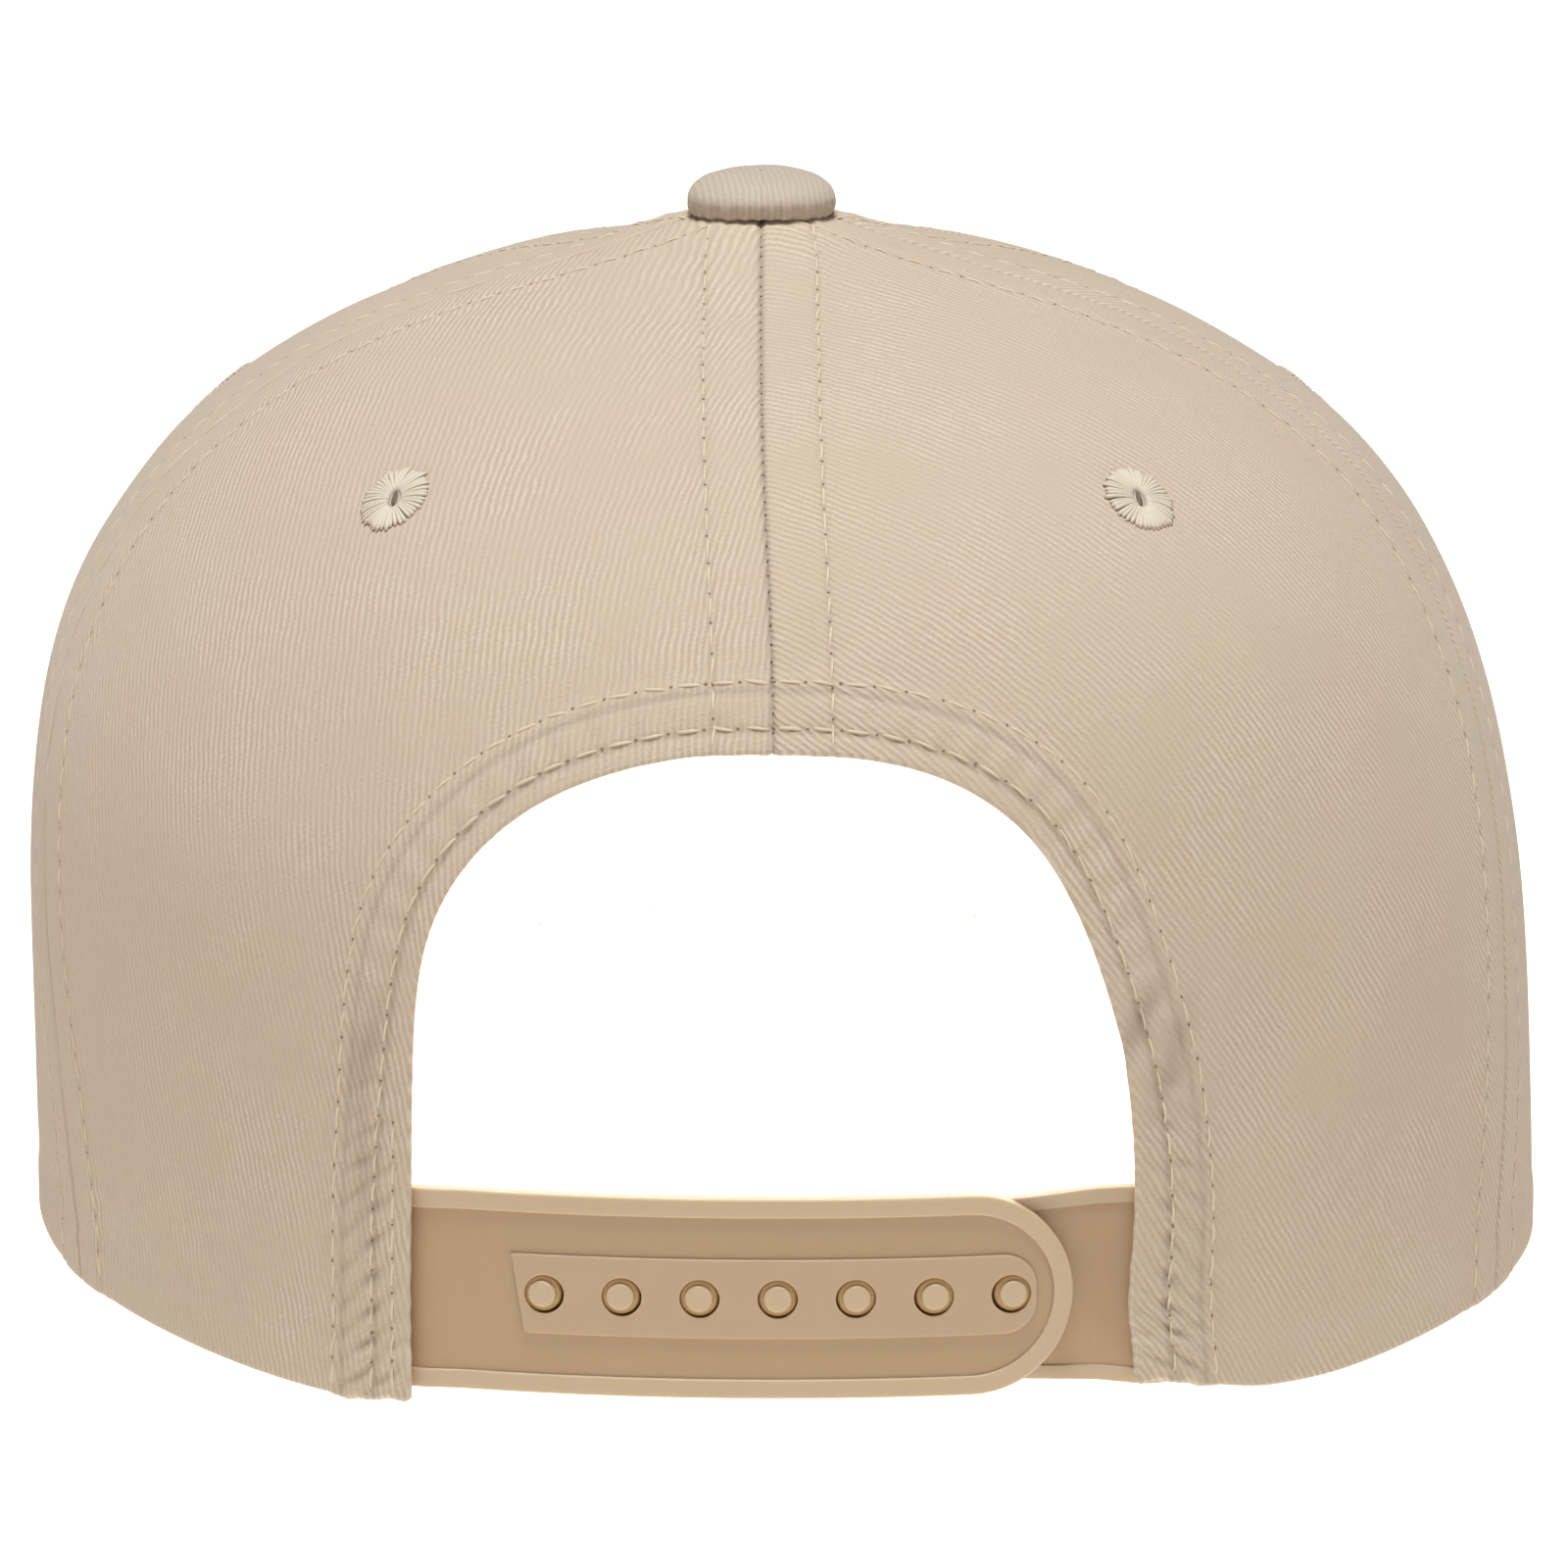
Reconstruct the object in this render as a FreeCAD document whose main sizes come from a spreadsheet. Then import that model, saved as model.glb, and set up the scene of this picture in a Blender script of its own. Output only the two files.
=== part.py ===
import FreeCAD, Part
import math
import os
from FreeCAD import Placement, Rotation, Vector

# A six-panel baseball cap with a snap strap across the back.
# Row frame, millimetres: origin at the centre of the head opening in the rim plane,
# +Z up through the button, -Y towards the visor, +Y towards the back opening, +X the wearer's left.
# Azimuths are in degrees from the back (+Y) round towards +X.

SIZES = [
    ("crown_half_width", 91.6, "outer half width of the crown at the rim"),
    ("crown_half_back", 95.0, "outer half length of the crown, rim centre to back"),
    ("crown_half_front", 99.0, "outer half length of the crown, rim centre to front"),
    ("crown_height", 119.45, "rim plane to the top of the crown's plain profile"),
    ("crown_peak", 3.5, "rise of the cloth under the button above that profile"),
    ("peak_reach", 30.0, "radius of the raised top"),
    ("crown_squareness", 4.18, "exponent of the crown's side profile, 2 is an ellipse"),
    ("front_rim_rise", 8.0, "how far the arched front rim rises at its middle"),
    ("front_rim_power", 1.5, "how softly the arch runs out at the visor's corners"),
    ("panel_thickness", 0.8, "cotton twill"),
    ("apex_hole_radius", 2.2, "hole where the six panels meet, under the button"),
    ("seam_gap", 0.15, "clearance between two panels at a seam"),
    ("back_seam_low", 67.0, "azimuth of the seam between back and side panel at the rim"),
    ("back_seam_high", 90.0, "azimuth of the same seam at the apex"),
    ("front_seam_low", 122.0, "azimuth of the seam between side and front panel at the rim"),
    ("front_seam_high", 134.0, "azimuth of the same seam at the apex"),
    ("buckram_thickness", 0.5, "stiffener inside the front panels"),
    ("buckram_foot_share", 0.01, "its lower edge, as a share of the way from rim to apex"),
    ("buckram_top_share", 0.93, "its upper edge, as a share of the way from rim to apex"),
    ("ply_gap", 0.1, "clearance between two plies"),
    ("tape_width", 18.0, "cotton tape over each seam inside the crown"),
    ("tape_thickness", 0.5, "cotton tape"),
    ("tape_top_angle", 21.0, "half angle of a tape where the tapes meet at the apex"),
    ("tape_foot", 3.0, "height of the tapes' lower ends above the rim"),
    ("arch_half_width", 41.8, "half width of the back opening"),
    ("arch_spring", 26.0, "height where the sides of the back opening begin to curve"),
    ("arch_top", 78.3, "height of the top of the back opening"),
    ("arch_side_power", 2.3, "exponent of the arch across its width"),
    ("arch_rise_power", 3.0, "exponent of the arch over its height"),
    ("facing_start", 26.5, "height of the facing's lower ends, above the straps"),
    ("facing_angle", 45.0, "azimuth that the facing stays within"),
    ("facing_width", 10.0, "strip turned in round the back opening"),
    ("facing_thickness", 0.5, "strip turned in round the back opening"),
    ("band_height", 34.0, "sweatband's upper edge above the rim plane"),
    ("band_foot", 0.6, "sweatband's lower edge above the rim plane"),
    ("band_start", 38.5, "azimuth of the sweatband's ends, behind the strap roots"),
    ("band_depth", 2.2, "outer cloth surface to the sweatband's back"),
    ("backing_thickness", 0.4, "sweatband's backing tape"),
    ("padding_thickness", 1.2, "sweatband's padding"),
    ("face_thickness", 0.6, "sweatband's face cloth"),
    ("visor_root_angle", 62.0, "half angle of the crown that the visor spans"),
    ("visor_clearance", 0.2, "crown's cloth to the visor's root"),
    ("visor_half_width", 83.5, "outer half width of the visor"),
    ("visor_corner", 48.0, "rim centre to the visor's corners"),
    ("visor_reach", 169.0, "rim centre to the visor's front edge"),
    ("visor_squareness", 2.5, "exponent of the visor's outline, 2 is an ellipse"),
    ("visor_cover", 0.8, "twill over and under the visor board"),
    ("visor_board", 1.9, "stiff board inside the visor"),
    ("visor_edge_inset", 1.2, "board edge inside the covers' edge"),
    ("button_radius", 8.9, "cloth-covered top button"),
    ("button_height", 5.2, "cloth-covered top button"),
    ("button_foot", 0.8, "radius of the button's lower edge as a share of its radius"),
    ("button_waist", 0.4, "height of the button's widest place as a share of its height"),
    ("button_squareness", 2.5, "exponent of the button's side profile, 2 is an ellipse"),
    ("button_cloth", 0.6, "cloth over the button"),
    ("button_metal", 0.5, "metal shell and back plate of the button"),
    ("shank_radius", 1.8, "button shank through the apex hole"),
    ("eyelet_radius", 3.9, "stitched ring round a vent hole"),
    ("eyelet_barrel", 2.3, "stitched wall of a vent hole, outside"),
    ("eyelet_hole", 1.1, "vent hole"),
    ("eyelet_flange", 0.5, "height of the stitched ring above the cloth"),
    ("back_eyelet_azimuth", 41.2, "vent in each back panel"),
    ("back_eyelet_share", 0.608, "share of the way from rim to apex"),
    ("side_eyelet_azimuth", 109.0, "vent in each side panel"),
    ("side_eyelet_share", 0.57, "share of the way from rim to apex"),
    ("front_eyelet_azimuth", 155.0, "vent in each front panel"),
    ("front_eyelet_share", 0.608, "share of the way from rim to apex"),
    ("strap_radius", 170.0, "plan radius of the hole strap's outer face"),
    ("strap_reach", 87.0, "rim centre to the hole strap's outer face at the middle"),
    ("strap_height", 24.0, "both snap straps"),
    ("strap_middle", 13.75, "height of the straps' centre line"),
    ("strap_thickness", 1.4, "plate of both snap straps"),
    ("strap_gap", 0.4, "clearance between the two straps"),
    ("strap_hinge", 40.6, "rim centre to each strap's bending line, sideways"),
    ("strap_tip", 34.3, "rim centre to each strap's free end, sideways"),
    ("strap_border", 2.4, "raised border of the hole strap"),
    ("strap_raise", 0.4, "height of the raised border and of the boss strip"),
    ("boss_height", 9.5, "raised strip round the snap holes"),
    ("boss_reach", 30.0, "rim centre to each end of the boss strip"),
    ("snap_pitch", 9.0, "snap hole to snap hole along the strap"),
    ("snap_count", 7, "snap holes, and pegs"),
    ("snap_hole_radius", 2.3, "hole in the hole strap"),
    ("snap_peg_radius", 1.65, "peg on the peg strap"),
    ("snap_peg_length", 2.3, "peg, from the peg strap's outer face"),
    ("root_clearance", 1.1, "bending line to the fixed root of a strap"),
    ("root_depth", 1.25, "outer cloth surface to the strap root's outer face"),
    ("root_sag", 0.3, "how much deeper the root lies halfway along"),
    ("root_taper", 0.8, "root's thickness at its hidden end as a share of the strap's"),
    ("root_end", 37.3, "azimuth of the hidden end of a strap root"),
]

doc = FreeCAD.newDocument("baseball_cap")
sheet = doc.addObject("Spreadsheet::Sheet", "Sizes")
for row, (alias, value, meaning) in enumerate(SIZES, start=1):
    sheet.set(f"A{row}", meaning)
    sheet.set(f"B{row}", str(value))
    sheet.setAlias(f"B{row}", alias)
doc.recompute()

PROFILE_STEPS = 600
PANEL_COLUMNS = 9
PANEL_ROWS = 19
SIDES = (("left", 1), ("right", -1))
nodes = []


def size(alias):
    return float(sheet.get(alias))


# ---- the crown's surface -------------------------------------------------------------

def profile_lengths():
    """Running length of the side profile from rim to apex, as [(length, angle), ...]."""
    found = [(0.0, 0.0)]
    last = profile_point(0.0)
    for step in range(1, PROFILE_STEPS + 1):
        angle = 0.5 * math.pi * (step / PROFILE_STEPS) ** 2
        here = profile_point(angle)
        run = math.hypot((here[0] - last[0]) * size("crown_half_width"),
                         (here[1] - last[1]) * size("crown_height"))
        found.append((found[-1][0] + run, angle))
        last = here
    return found


def profile_point(angle):
    """Share of the half width and share of the height at a profile angle from 0 to 90 degrees."""
    return math.cos(angle), math.sin(angle) ** (2 / size("crown_squareness"))


PROFILE = profile_lengths()


def profile_angle(share):
    """Profile angle at a share, from 0 at the rim to 1 at the apex, of the profile's length."""
    wanted = share * PROFILE[-1][0]
    for (low, low_angle), (high, high_angle) in zip(PROFILE, PROFILE[1:]):
        if wanted <= high:
            return low_angle + (high_angle - low_angle) * (wanted - low) / (high - low)
    return PROFILE[-1][1]


def share_at_radius(radius):
    """Share of the profile's length where the crown is that far from its axis."""
    angle = math.acos(radius / size("crown_half_width"))
    for length, reached in PROFILE:
        if reached >= angle:
            return length / PROFILE[-1][0]
    return 1.0


def share_at_height(height):
    level = (height / size("crown_height")) ** (size("crown_squareness") / 2)
    angle = math.asin(min(level, 1.0))
    for (low, low_angle), (high, high_angle) in zip(PROFILE, PROFILE[1:]):
        if angle <= high_angle:
            return (low + (high - low) * (angle - low_angle) / (high_angle - low_angle)) / PROFILE[-1][0]
    return 1.0


def half_length(azimuth):
    return size("crown_half_back") if math.cos(math.radians(azimuth)) > 0 else size("crown_half_front")


def arch_height(across):
    """Height of the visor's arch that far sideways from the middle."""
    share = min(abs(across) / size("visor_half_width"), 1.0)
    return size("front_rim_rise") * (1 - share ** 2) ** size("front_rim_power")


def rim_rise(azimuth):
    """Height of the rim: level at the back and sides, arched over the forehead."""
    around = math.radians(azimuth)
    if math.cos(around) > 0:
        return 0.0
    return arch_height(size("crown_half_width") * math.sin(around))


def peak(radius):
    """Rise of the crown's top at a distance from its axis."""
    share = min(radius / size("peak_reach"), 1.0)
    return size("crown_peak") * (1 - share ** 2) ** 2


def crown_point(azimuth, share, depth=0.0):
    """Point on the crown at a depth inside its outer surface."""
    around = math.radians(azimuth)
    width, level = profile_point(profile_angle(share))
    half_width = size("crown_half_width")
    length = half_length(azimuth)
    height = size("crown_height")
    power = size("crown_squareness")
    across = half_width * width * math.sin(around)
    along = length * width * math.cos(around)
    up = height * level + rim_rise(azimuth) * (1 - level) + peak(math.hypot(across, along))
    slope = Vector(2 * across / half_width ** 2, 2 * along / length ** 2,
                   power * level ** (power - 1) / height)
    slope.normalize()
    return Vector(across, along, up) - slope * depth


def crown_normal(azimuth, share):
    return (crown_point(azimuth, share) - crown_point(azimuth, share, 1.0)).normalize()


def seam_azimuth(name, share):
    """Azimuth of a seam on the +X side, at a share of the way from rim to apex."""
    if name == "centre_back":
        return 0.0
    if name == "centre_front":
        return 180.0
    low, high = size(name + "_low"), size(name + "_high")
    return low + (high - low) * share


# ---- thin closed solids between two skins ----------------------------------------------

def spline_skin(rows):
    skin = Part.BSplineSurface()
    skin.interpolate(rows)
    return skin


def closed_solid(faces):
    shell = Part.makeShell(faces)
    shell.sewShape()
    solid = Part.makeSolid(shell)
    if solid.Volume < 0:
        solid.reverse()
    return solid


def edge_face(first, second):
    """Face that closes a ply between two matching edges: flat where they lie in one plane, else ruled."""
    (first_start, first_end), (second_start, second_end) = (
        [vertex.Point for vertex in edge.Vertexes] for edge in (first, second))
    start, end = Part.makeLine(first_start, second_start), Part.makeLine(first_end, second_end)
    wire = Part.Wire([first, end, second, start])
    return Part.Face(wire) if wire.findPlane() else Part.makeRuledSurface(first, second)


def solid_between(outer_rows, inner_rows):
    """Solid between two skins that are given as rows of points of the same count."""
    outer, inner = spline_skin(outer_rows), spline_skin(inner_rows)
    faces = [outer.toShape(), inner.toShape()]
    u_low, u_high, v_low, v_high = outer.bounds()
    p_low, p_high, q_low, q_high = inner.bounds()
    for u, p in ((u_low, p_low), (u_high, p_high)):
        faces.append(edge_face(outer.uIso(u).toShape(), inner.uIso(p).toShape()))
    for v, q in ((v_low, q_low), (v_high, q_high)):
        faces.append(edge_face(outer.vIso(v).toShape(), inner.vIso(q).toShape()))
    return closed_solid(faces)


def crown_ply(low_edge, high_edge, shares, depth, thickness, columns=PANEL_COLUMNS):
    """Ply of the crown between two edges, each a function of the share that returns an azimuth."""
    def skin_rows(at_depth):
        rows = []
        for share in shares:
            low, high = low_edge(share), high_edge(share)
            rows.append([crown_point(low + (high - low) * column / (columns - 1), share, at_depth)
                         for column in range(columns)])
        return rows
    return solid_between(skin_rows(depth), skin_rows(depth + thickness))


def spread(low, high, count):
    return [low + (high - low) * step / (count - 1) for step in range(count)]


def half_gap(share):
    """Half of a seam's gap as an angle at that share of the profile."""
    radius = size("crown_half_width") * profile_point(profile_angle(share))[0]
    return math.degrees(0.5 * size("seam_gap") / radius)


def mirrored(shape):
    return shape.mirror(Vector(0, 0, 0), Vector(1, 0, 0))


# ---- putting pieces in the document -----------------------------------------------------

def add_shape(label, shape, is_node=True):
    """A piece whose shape is worked out here, because no feature draws a doubly curved ply."""
    piece = doc.addObject("Part::Feature", label)
    piece.Shape = shape
    piece.Placement = Placement()
    return finish_piece(piece, label, is_node)


def finish_piece(piece, label, is_node=True):
    piece.Label = label
    if is_node:
        nodes.append(piece)
    return piece


def bind(piece, **expressions):
    for name, expression in expressions.items():
        piece.setExpression(name, expression)


def cut(label, base, tool, is_node=True):
    piece = doc.addObject("Part::Cut", label)
    piece.Base = base
    piece.Tool = tool
    return finish_piece(piece, label, is_node)


def fuse(label, *shapes, is_node=True):
    piece = doc.addObject("Part::MultiFuse", label)
    piece.Shapes = list(shapes)
    return finish_piece(piece, label, is_node)


# ---- back opening -------------------------------------------------------------------------

def arch_outline(grow, near):
    """Wire of the back opening, upright and facing back, grown outwards; its sides run down past the rim."""
    half_width = size("arch_half_width") + grow
    spring, rise = size("arch_spring"), size("arch_top") - size("arch_spring") + grow
    below, steps = -10.0, 24
    points = []
    for step in range(steps + 1):
        angle = math.pi * step / steps
        across = abs(math.cos(angle)) ** (2 / size("arch_side_power"))
        up = math.sin(angle) ** (2 / size("arch_rise_power"))
        points.append(Vector(math.copysign(half_width * across, math.cos(angle)), near, spring + rise * up))
    curve = Part.BSplineCurve()
    curve.interpolate(points)
    feet = [Vector(-half_width, near, below), Vector(half_width, near, below)]
    sides = Part.makePolygon([points[-1], feet[0], feet[1], points[0]])
    return Part.Wire([curve.toShape()] + sides.Edges)


def arch_prism(grow):
    """Prism through the back wall with the outline of the opening."""
    near, length = 40.0, 70.0
    return Part.Face(arch_outline(grow, near)).extrude(Vector(0, length, 0))


opening_tool = add_shape("opening_tool", arch_prism(0.0), is_node=False)


# ---- crown panels ---------------------------------------------------------------------------

def eyelet_place(panel):
    """Azimuth and share of the vent in a panel on the +X side."""
    return size(panel + "_eyelet_azimuth"), size(panel + "_eyelet_share")


def eyelet_drill(panel):
    """Hole for a vent, square to the cloth."""
    azimuth, share = eyelet_place(panel)
    reach = 12.0
    normal = crown_normal(azimuth, share)
    start = crown_point(azimuth, share) + normal * reach
    return Part.makeCylinder(size("eyelet_barrel") + size("ply_gap"), 2 * reach, start, normal * -1)


def panel_shape(first_seam, second_seam, depth, thickness, shares):
    return crown_ply(lambda share: seam_azimuth(first_seam, share) + half_gap(share),
                     lambda share: seam_azimuth(second_seam, share) - half_gap(share),
                     shares, depth, thickness)


def add_panels():
    shares = spread(0.0, share_at_radius(size("apex_hole_radius")), PANEL_ROWS)
    seams = {"back": ("centre_back", "back_seam"), "side": ("back_seam", "front_seam"),
             "front": ("front_seam", "centre_front")}
    for name, (first, second) in seams.items():
        whole = panel_shape(first, second, 0.0, size("panel_thickness"), shares)
        drilled = whole.cut(eyelet_drill(name))
        for side, sign in SIDES:
            shape = drilled if sign > 0 else mirrored(drilled)
            if name == "back":
                blank = add_shape(f"back_{side}_blank", shape, is_node=False)
                cut(f"back_{side}_panel", blank, opening_tool)
            else:
                add_shape(f"{name}_{side}_panel", shape)


def add_buckram():
    """Stiffener behind both front panels, clear of the rim and of the apex."""
    depth = size("panel_thickness") + size("ply_gap")
    shares = spread(size("buckram_foot_share"), size("buckram_top_share"), PANEL_ROWS)
    whole = panel_shape("front_seam", "centre_front", depth, size("buckram_thickness"), shares)
    drilled = whole.cut(eyelet_drill("front"))
    add_shape("front_left_buckram", drilled)
    add_shape("front_right_buckram", mirrored(drilled))


def tape_shape(seam, low_share, high_share, columns=5):
    """Tape of even width over a seam, narrowed where the six tapes meet at the apex."""
    depth = size("panel_thickness") + size("buckram_thickness") + 2 * size("ply_gap")

    def half_angle(share):
        radius = size("crown_half_width") * profile_point(profile_angle(share))[0]
        return min(math.degrees(0.5 * size("tape_width") / radius), size("tape_top_angle"))

    return crown_ply(lambda share: seam_azimuth(seam, share) - half_angle(share),
                     lambda share: seam_azimuth(seam, share) + half_angle(share),
                     spread(low_share, high_share, 2 * PANEL_ROWS), depth, size("tape_thickness"), columns)


def add_tapes():
    foot = share_at_height(size("tape_foot"))
    top = share_at_radius(2 * size("apex_hole_radius"))
    add_shape("centre_front_tape", tape_shape("centre_front", foot, top))
    above_arch = share_at_height(size("arch_top") + 2 * size("ply_gap"))
    add_shape("centre_back_tape", tape_shape("centre_back", above_arch, top))
    for seam, name in (("back_seam", "side_back"), ("front_seam", "side_front")):
        shape = tape_shape(seam, foot, top)
        add_shape(f"{name}_left_tape", shape)
        add_shape(f"{name}_right_tape", mirrored(shape))


def add_facing():
    """Strip turned in round the arch of the back opening, ending above the straps."""
    depth = size("panel_thickness") + size("ply_gap")
    reach = size("facing_angle")
    low, high = size("facing_start"), size("arch_top") + 2 * size("facing_width")
    wall = crown_ply(lambda share: -reach, lambda share: reach,
                     spread(share_at_height(low), share_at_height(high), PANEL_ROWS),
                     depth, size("facing_thickness"), 2 * PANEL_COLUMNS)
    strip = wall.common(arch_prism(size("facing_width"))).cut(arch_prism(0.0))
    add_shape("back_opening_facing", strip)


def add_sweatband():
    """Three plies inside the rim, from one strap root round the forehead to the other."""
    columns = 33
    depth = size("band_depth")
    shares = spread(share_at_height(size("band_foot")), share_at_height(size("band_height")), 4)
    start = size("band_start")
    for name in ("backing", "padding", "face"):
        thickness = size(name + "_thickness")
        shape = crown_ply(lambda share: start, lambda share: 360 - start,
                          shares, depth, thickness, columns)
        add_shape(f"sweatband_{name}", shape)
        depth += thickness + size("ply_gap")


# ---- visor -------------------------------------------------------------------------------------

def visor_point(across, outwards, height, inset):
    """Point on the visor: across runs from -1 to 1, outwards from 0 at the crown to 1 at the edge."""
    angle = math.radians(size("visor_root_angle") * across)
    clearance = size("visor_clearance")
    root = Vector((size("crown_half_width") + clearance) * math.sin(angle),
                  -(size("crown_half_front") + clearance) * math.cos(angle), 0)
    turn = 0.5 * math.pi * (1 - abs(across))
    power = 2 / size("visor_squareness")
    edge = Vector(math.copysign((size("visor_half_width") - inset) * math.cos(turn) ** power, across),
                  -size("visor_corner") - (size("visor_reach") - inset - size("visor_corner"))
                  * math.sin(turn) ** power, 0)
    point = root + (edge - root) * outwards
    return Vector(point.x, point.y, arch_height(point.x) + height)


def visor_ply(low, high, inset):
    def skin(height):
        return [[visor_point(across, outwards, height, inset) for across in spread(-1.0, 1.0, 25)]
                for outwards in spread(0.0, 1.0, 5)]
    return solid_between(skin(high), skin(low))


def add_visor():
    cover, board, gap = size("visor_cover"), size("visor_board"), 0.5 * size("ply_gap")
    add_shape("visor_under_cover", visor_ply(0.0, cover, 0.0))
    add_shape("visor_board", visor_ply(cover + gap, cover + gap + board, size("visor_edge_inset")))
    add_shape("visor_top_cover", visor_ply(cover + 2 * gap + board, 2 * cover + 2 * gap + board, 0.0))


# ---- turned pieces: button and eyelets ------------------------------------------------------------

def origin_plane(body, role):
    return next(feature for feature in body.Origin.OriginFeatures if feature.Role == role)


def turned_body(label, outline, place):
    """Body turned about its Z axis from an outline of (radius, height) points."""
    body = doc.addObject("PartDesign::Body", label)
    sketch = body.newObject("Sketcher::SketchObject", label + "_sketch")
    sketch.AttachmentSupport = [(origin_plane(body, "XZ_Plane"), "")]
    sketch.MapMode = "FlatFace"
    for start, end in zip(outline, outline[1:] + outline[:1]):
        sketch.addGeometry(Part.LineSegment(Vector(*start, 0), Vector(*end, 0)))
    turn = body.newObject("PartDesign::Revolution", label + "_turn")
    turn.Profile = sketch
    turn.ReferenceAxis = (sketch, ["V_Axis"])
    turn.Angle = 360.0
    body.Placement = place
    return finish_piece(body, label)


def dome(radius, base_radius, base, top, count=9):
    """Half outline of the flattened button dome, from its lower edge up to its axis."""
    waist = base + size("button_waist") * (top - base)
    power = 2 / size("button_squareness")
    points = [(base_radius, base)]
    for step in range(count):
        angle = 0.5 * math.pi * step / (count - 1)
        points.append((radius * math.cos(angle) ** power, waist + (top - waist) * math.sin(angle)))
    points[-1] = (0.0, top)
    return points


def add_button():
    seat_height = size("crown_height") + size("crown_peak") + size("ply_gap")
    seat = Placement(Vector(0, 0, seat_height), Rotation())
    radius, top = size("button_radius"), size("button_height")
    cloth, metal, gap = size("button_cloth"), size("button_metal"), size("ply_gap")
    rim = size("button_foot") * radius
    outside = dome(radius, rim, 0.0, top)
    inside = dome(radius - cloth, rim - cloth, 0.0, top - cloth)
    turned_body("button_cover", outside + inside[::-1], seat)
    shell_out = dome(radius - cloth - gap, rim - cloth - gap, 0.0, top - cloth - gap)
    shell_in = dome(radius - cloth - gap - metal, rim - cloth - gap - metal, 0.0, top - cloth - gap - metal)
    turned_body("button_shell", shell_out + shell_in[::-1], seat)
    plate = rim - cloth - 2 * gap - metal
    shank = size("shank_radius")
    tail = -size("panel_thickness") - size("buckram_thickness") - size("tape_thickness") - 6 * gap
    turned_body("button_back",
                [(0, metal), (plate, metal), (plate, 0), (shank, 0), (shank, tail),
                 (2 * shank, tail), (2 * shank, tail - metal), (0, tail - metal)], seat)


def add_eyelets():
    """Stitched vent rings, one in each panel, square to the cloth."""
    hole, barrel, ring = size("eyelet_hole"), size("eyelet_barrel"), size("eyelet_radius")
    flange, gap = size("eyelet_flange"), 2 * size("ply_gap")
    for name in ("back", "side", "front"):
        azimuth, share = eyelet_place(name)
        through = size("panel_thickness") + 2 * gap
        if name == "front":
            through += size("buckram_thickness")
        outline = [(hole, flange), (0.5 * (hole + ring), 1.5 * flange), (ring, gap), (barrel, gap),
                   (barrel, -through), (hole, -through)]
        for side, sign in SIDES:
            point = crown_point(sign * azimuth, share)
            square = Rotation(Vector(0, 0, 1), crown_normal(sign * azimuth, share))
            turned_body(f"{name}_{side}_eyelet", outline, Placement(point, square))


# ---- snap straps --------------------------------------------------------------------------------

def strap_angle(across):
    """Plan angle of a point of the strap that lies that far sideways, seen from the strap's centre."""
    return math.degrees(math.asin(across / size("strap_radius")))


def strap_centre(height):
    return Vector(0, size("strap_reach") - size("strap_radius"), height)


def sector(label, radius, height, low, high, middle):
    """Pie slice of a cylinder about the strap's centre, between two sideways places."""
    piece = doc.addObject("Part::Cylinder", label)
    bind(piece, Radius=radius, Height=height)
    piece.Angle = strap_angle(high) - strap_angle(low)
    turn = Rotation(Vector(0, 0, 1), 90 - strap_angle(high))
    piece.Placement = Placement(strap_centre(middle), turn)
    return piece


def curved_plate(label, outer, inner, height_name, low, high, middle):
    """Plate bent about the strap's centre; outer and inner are expressions for its radii."""
    height = "Sizes." + height_name
    whole = sector(label + "_outer", outer, height, low, high, middle - 0.5 * size(height_name))
    core = sector(label + "_inner", inner, height, low, high, middle - 0.5 * size(height_name))
    return cut(label, whole, core, is_node=False)


def snap_angles():
    count = int(size("snap_count"))
    pitch = math.degrees(size("snap_pitch") / size("strap_radius"))
    return [(number - 0.5 * (count - 1)) * pitch for number in range(count)]


def snap_pins(label, radius, length, inner_radius):
    """Cylinders that stand square to the strap at each snap."""
    pins = []
    for number, angle in enumerate(snap_angles(), start=1):
        pin = doc.addObject("Part::Cylinder", f"{label}_{number}")
        bind(pin, Radius=radius, Height=length)
        outwards = Vector(-math.sin(math.radians(angle)), math.cos(math.radians(angle)), 0)
        pin.Placement = Placement(strap_centre(size("strap_middle")) + outwards * inner_radius,
                                  Rotation(Vector(0, 0, 1), outwards))
        pins.append(pin)
    return fuse(label, *pins, is_node=False)


def round_end_tool(label, sign):
    """What is trimmed off a strap's free end to leave it a half round of the strap's height."""
    radius = 0.5 * size("strap_height")
    middle, tip = size("strap_middle"), size("strap_tip")
    near, depth, reach = size("strap_reach") - 20.0, 25.0, 8.0
    centre = Vector(sign * (tip - radius), near, middle)
    box = Part.makeBox(radius + reach, depth, 2 * radius + 2 * reach,
                       Vector(centre.x if sign > 0 else centre.x - radius - reach, near,
                              middle - radius - reach))
    disc = Part.makeCylinder(radius, depth, centre, Vector(0, 1, 0))
    return add_shape(label, box.cut(disc), is_node=False)


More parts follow.
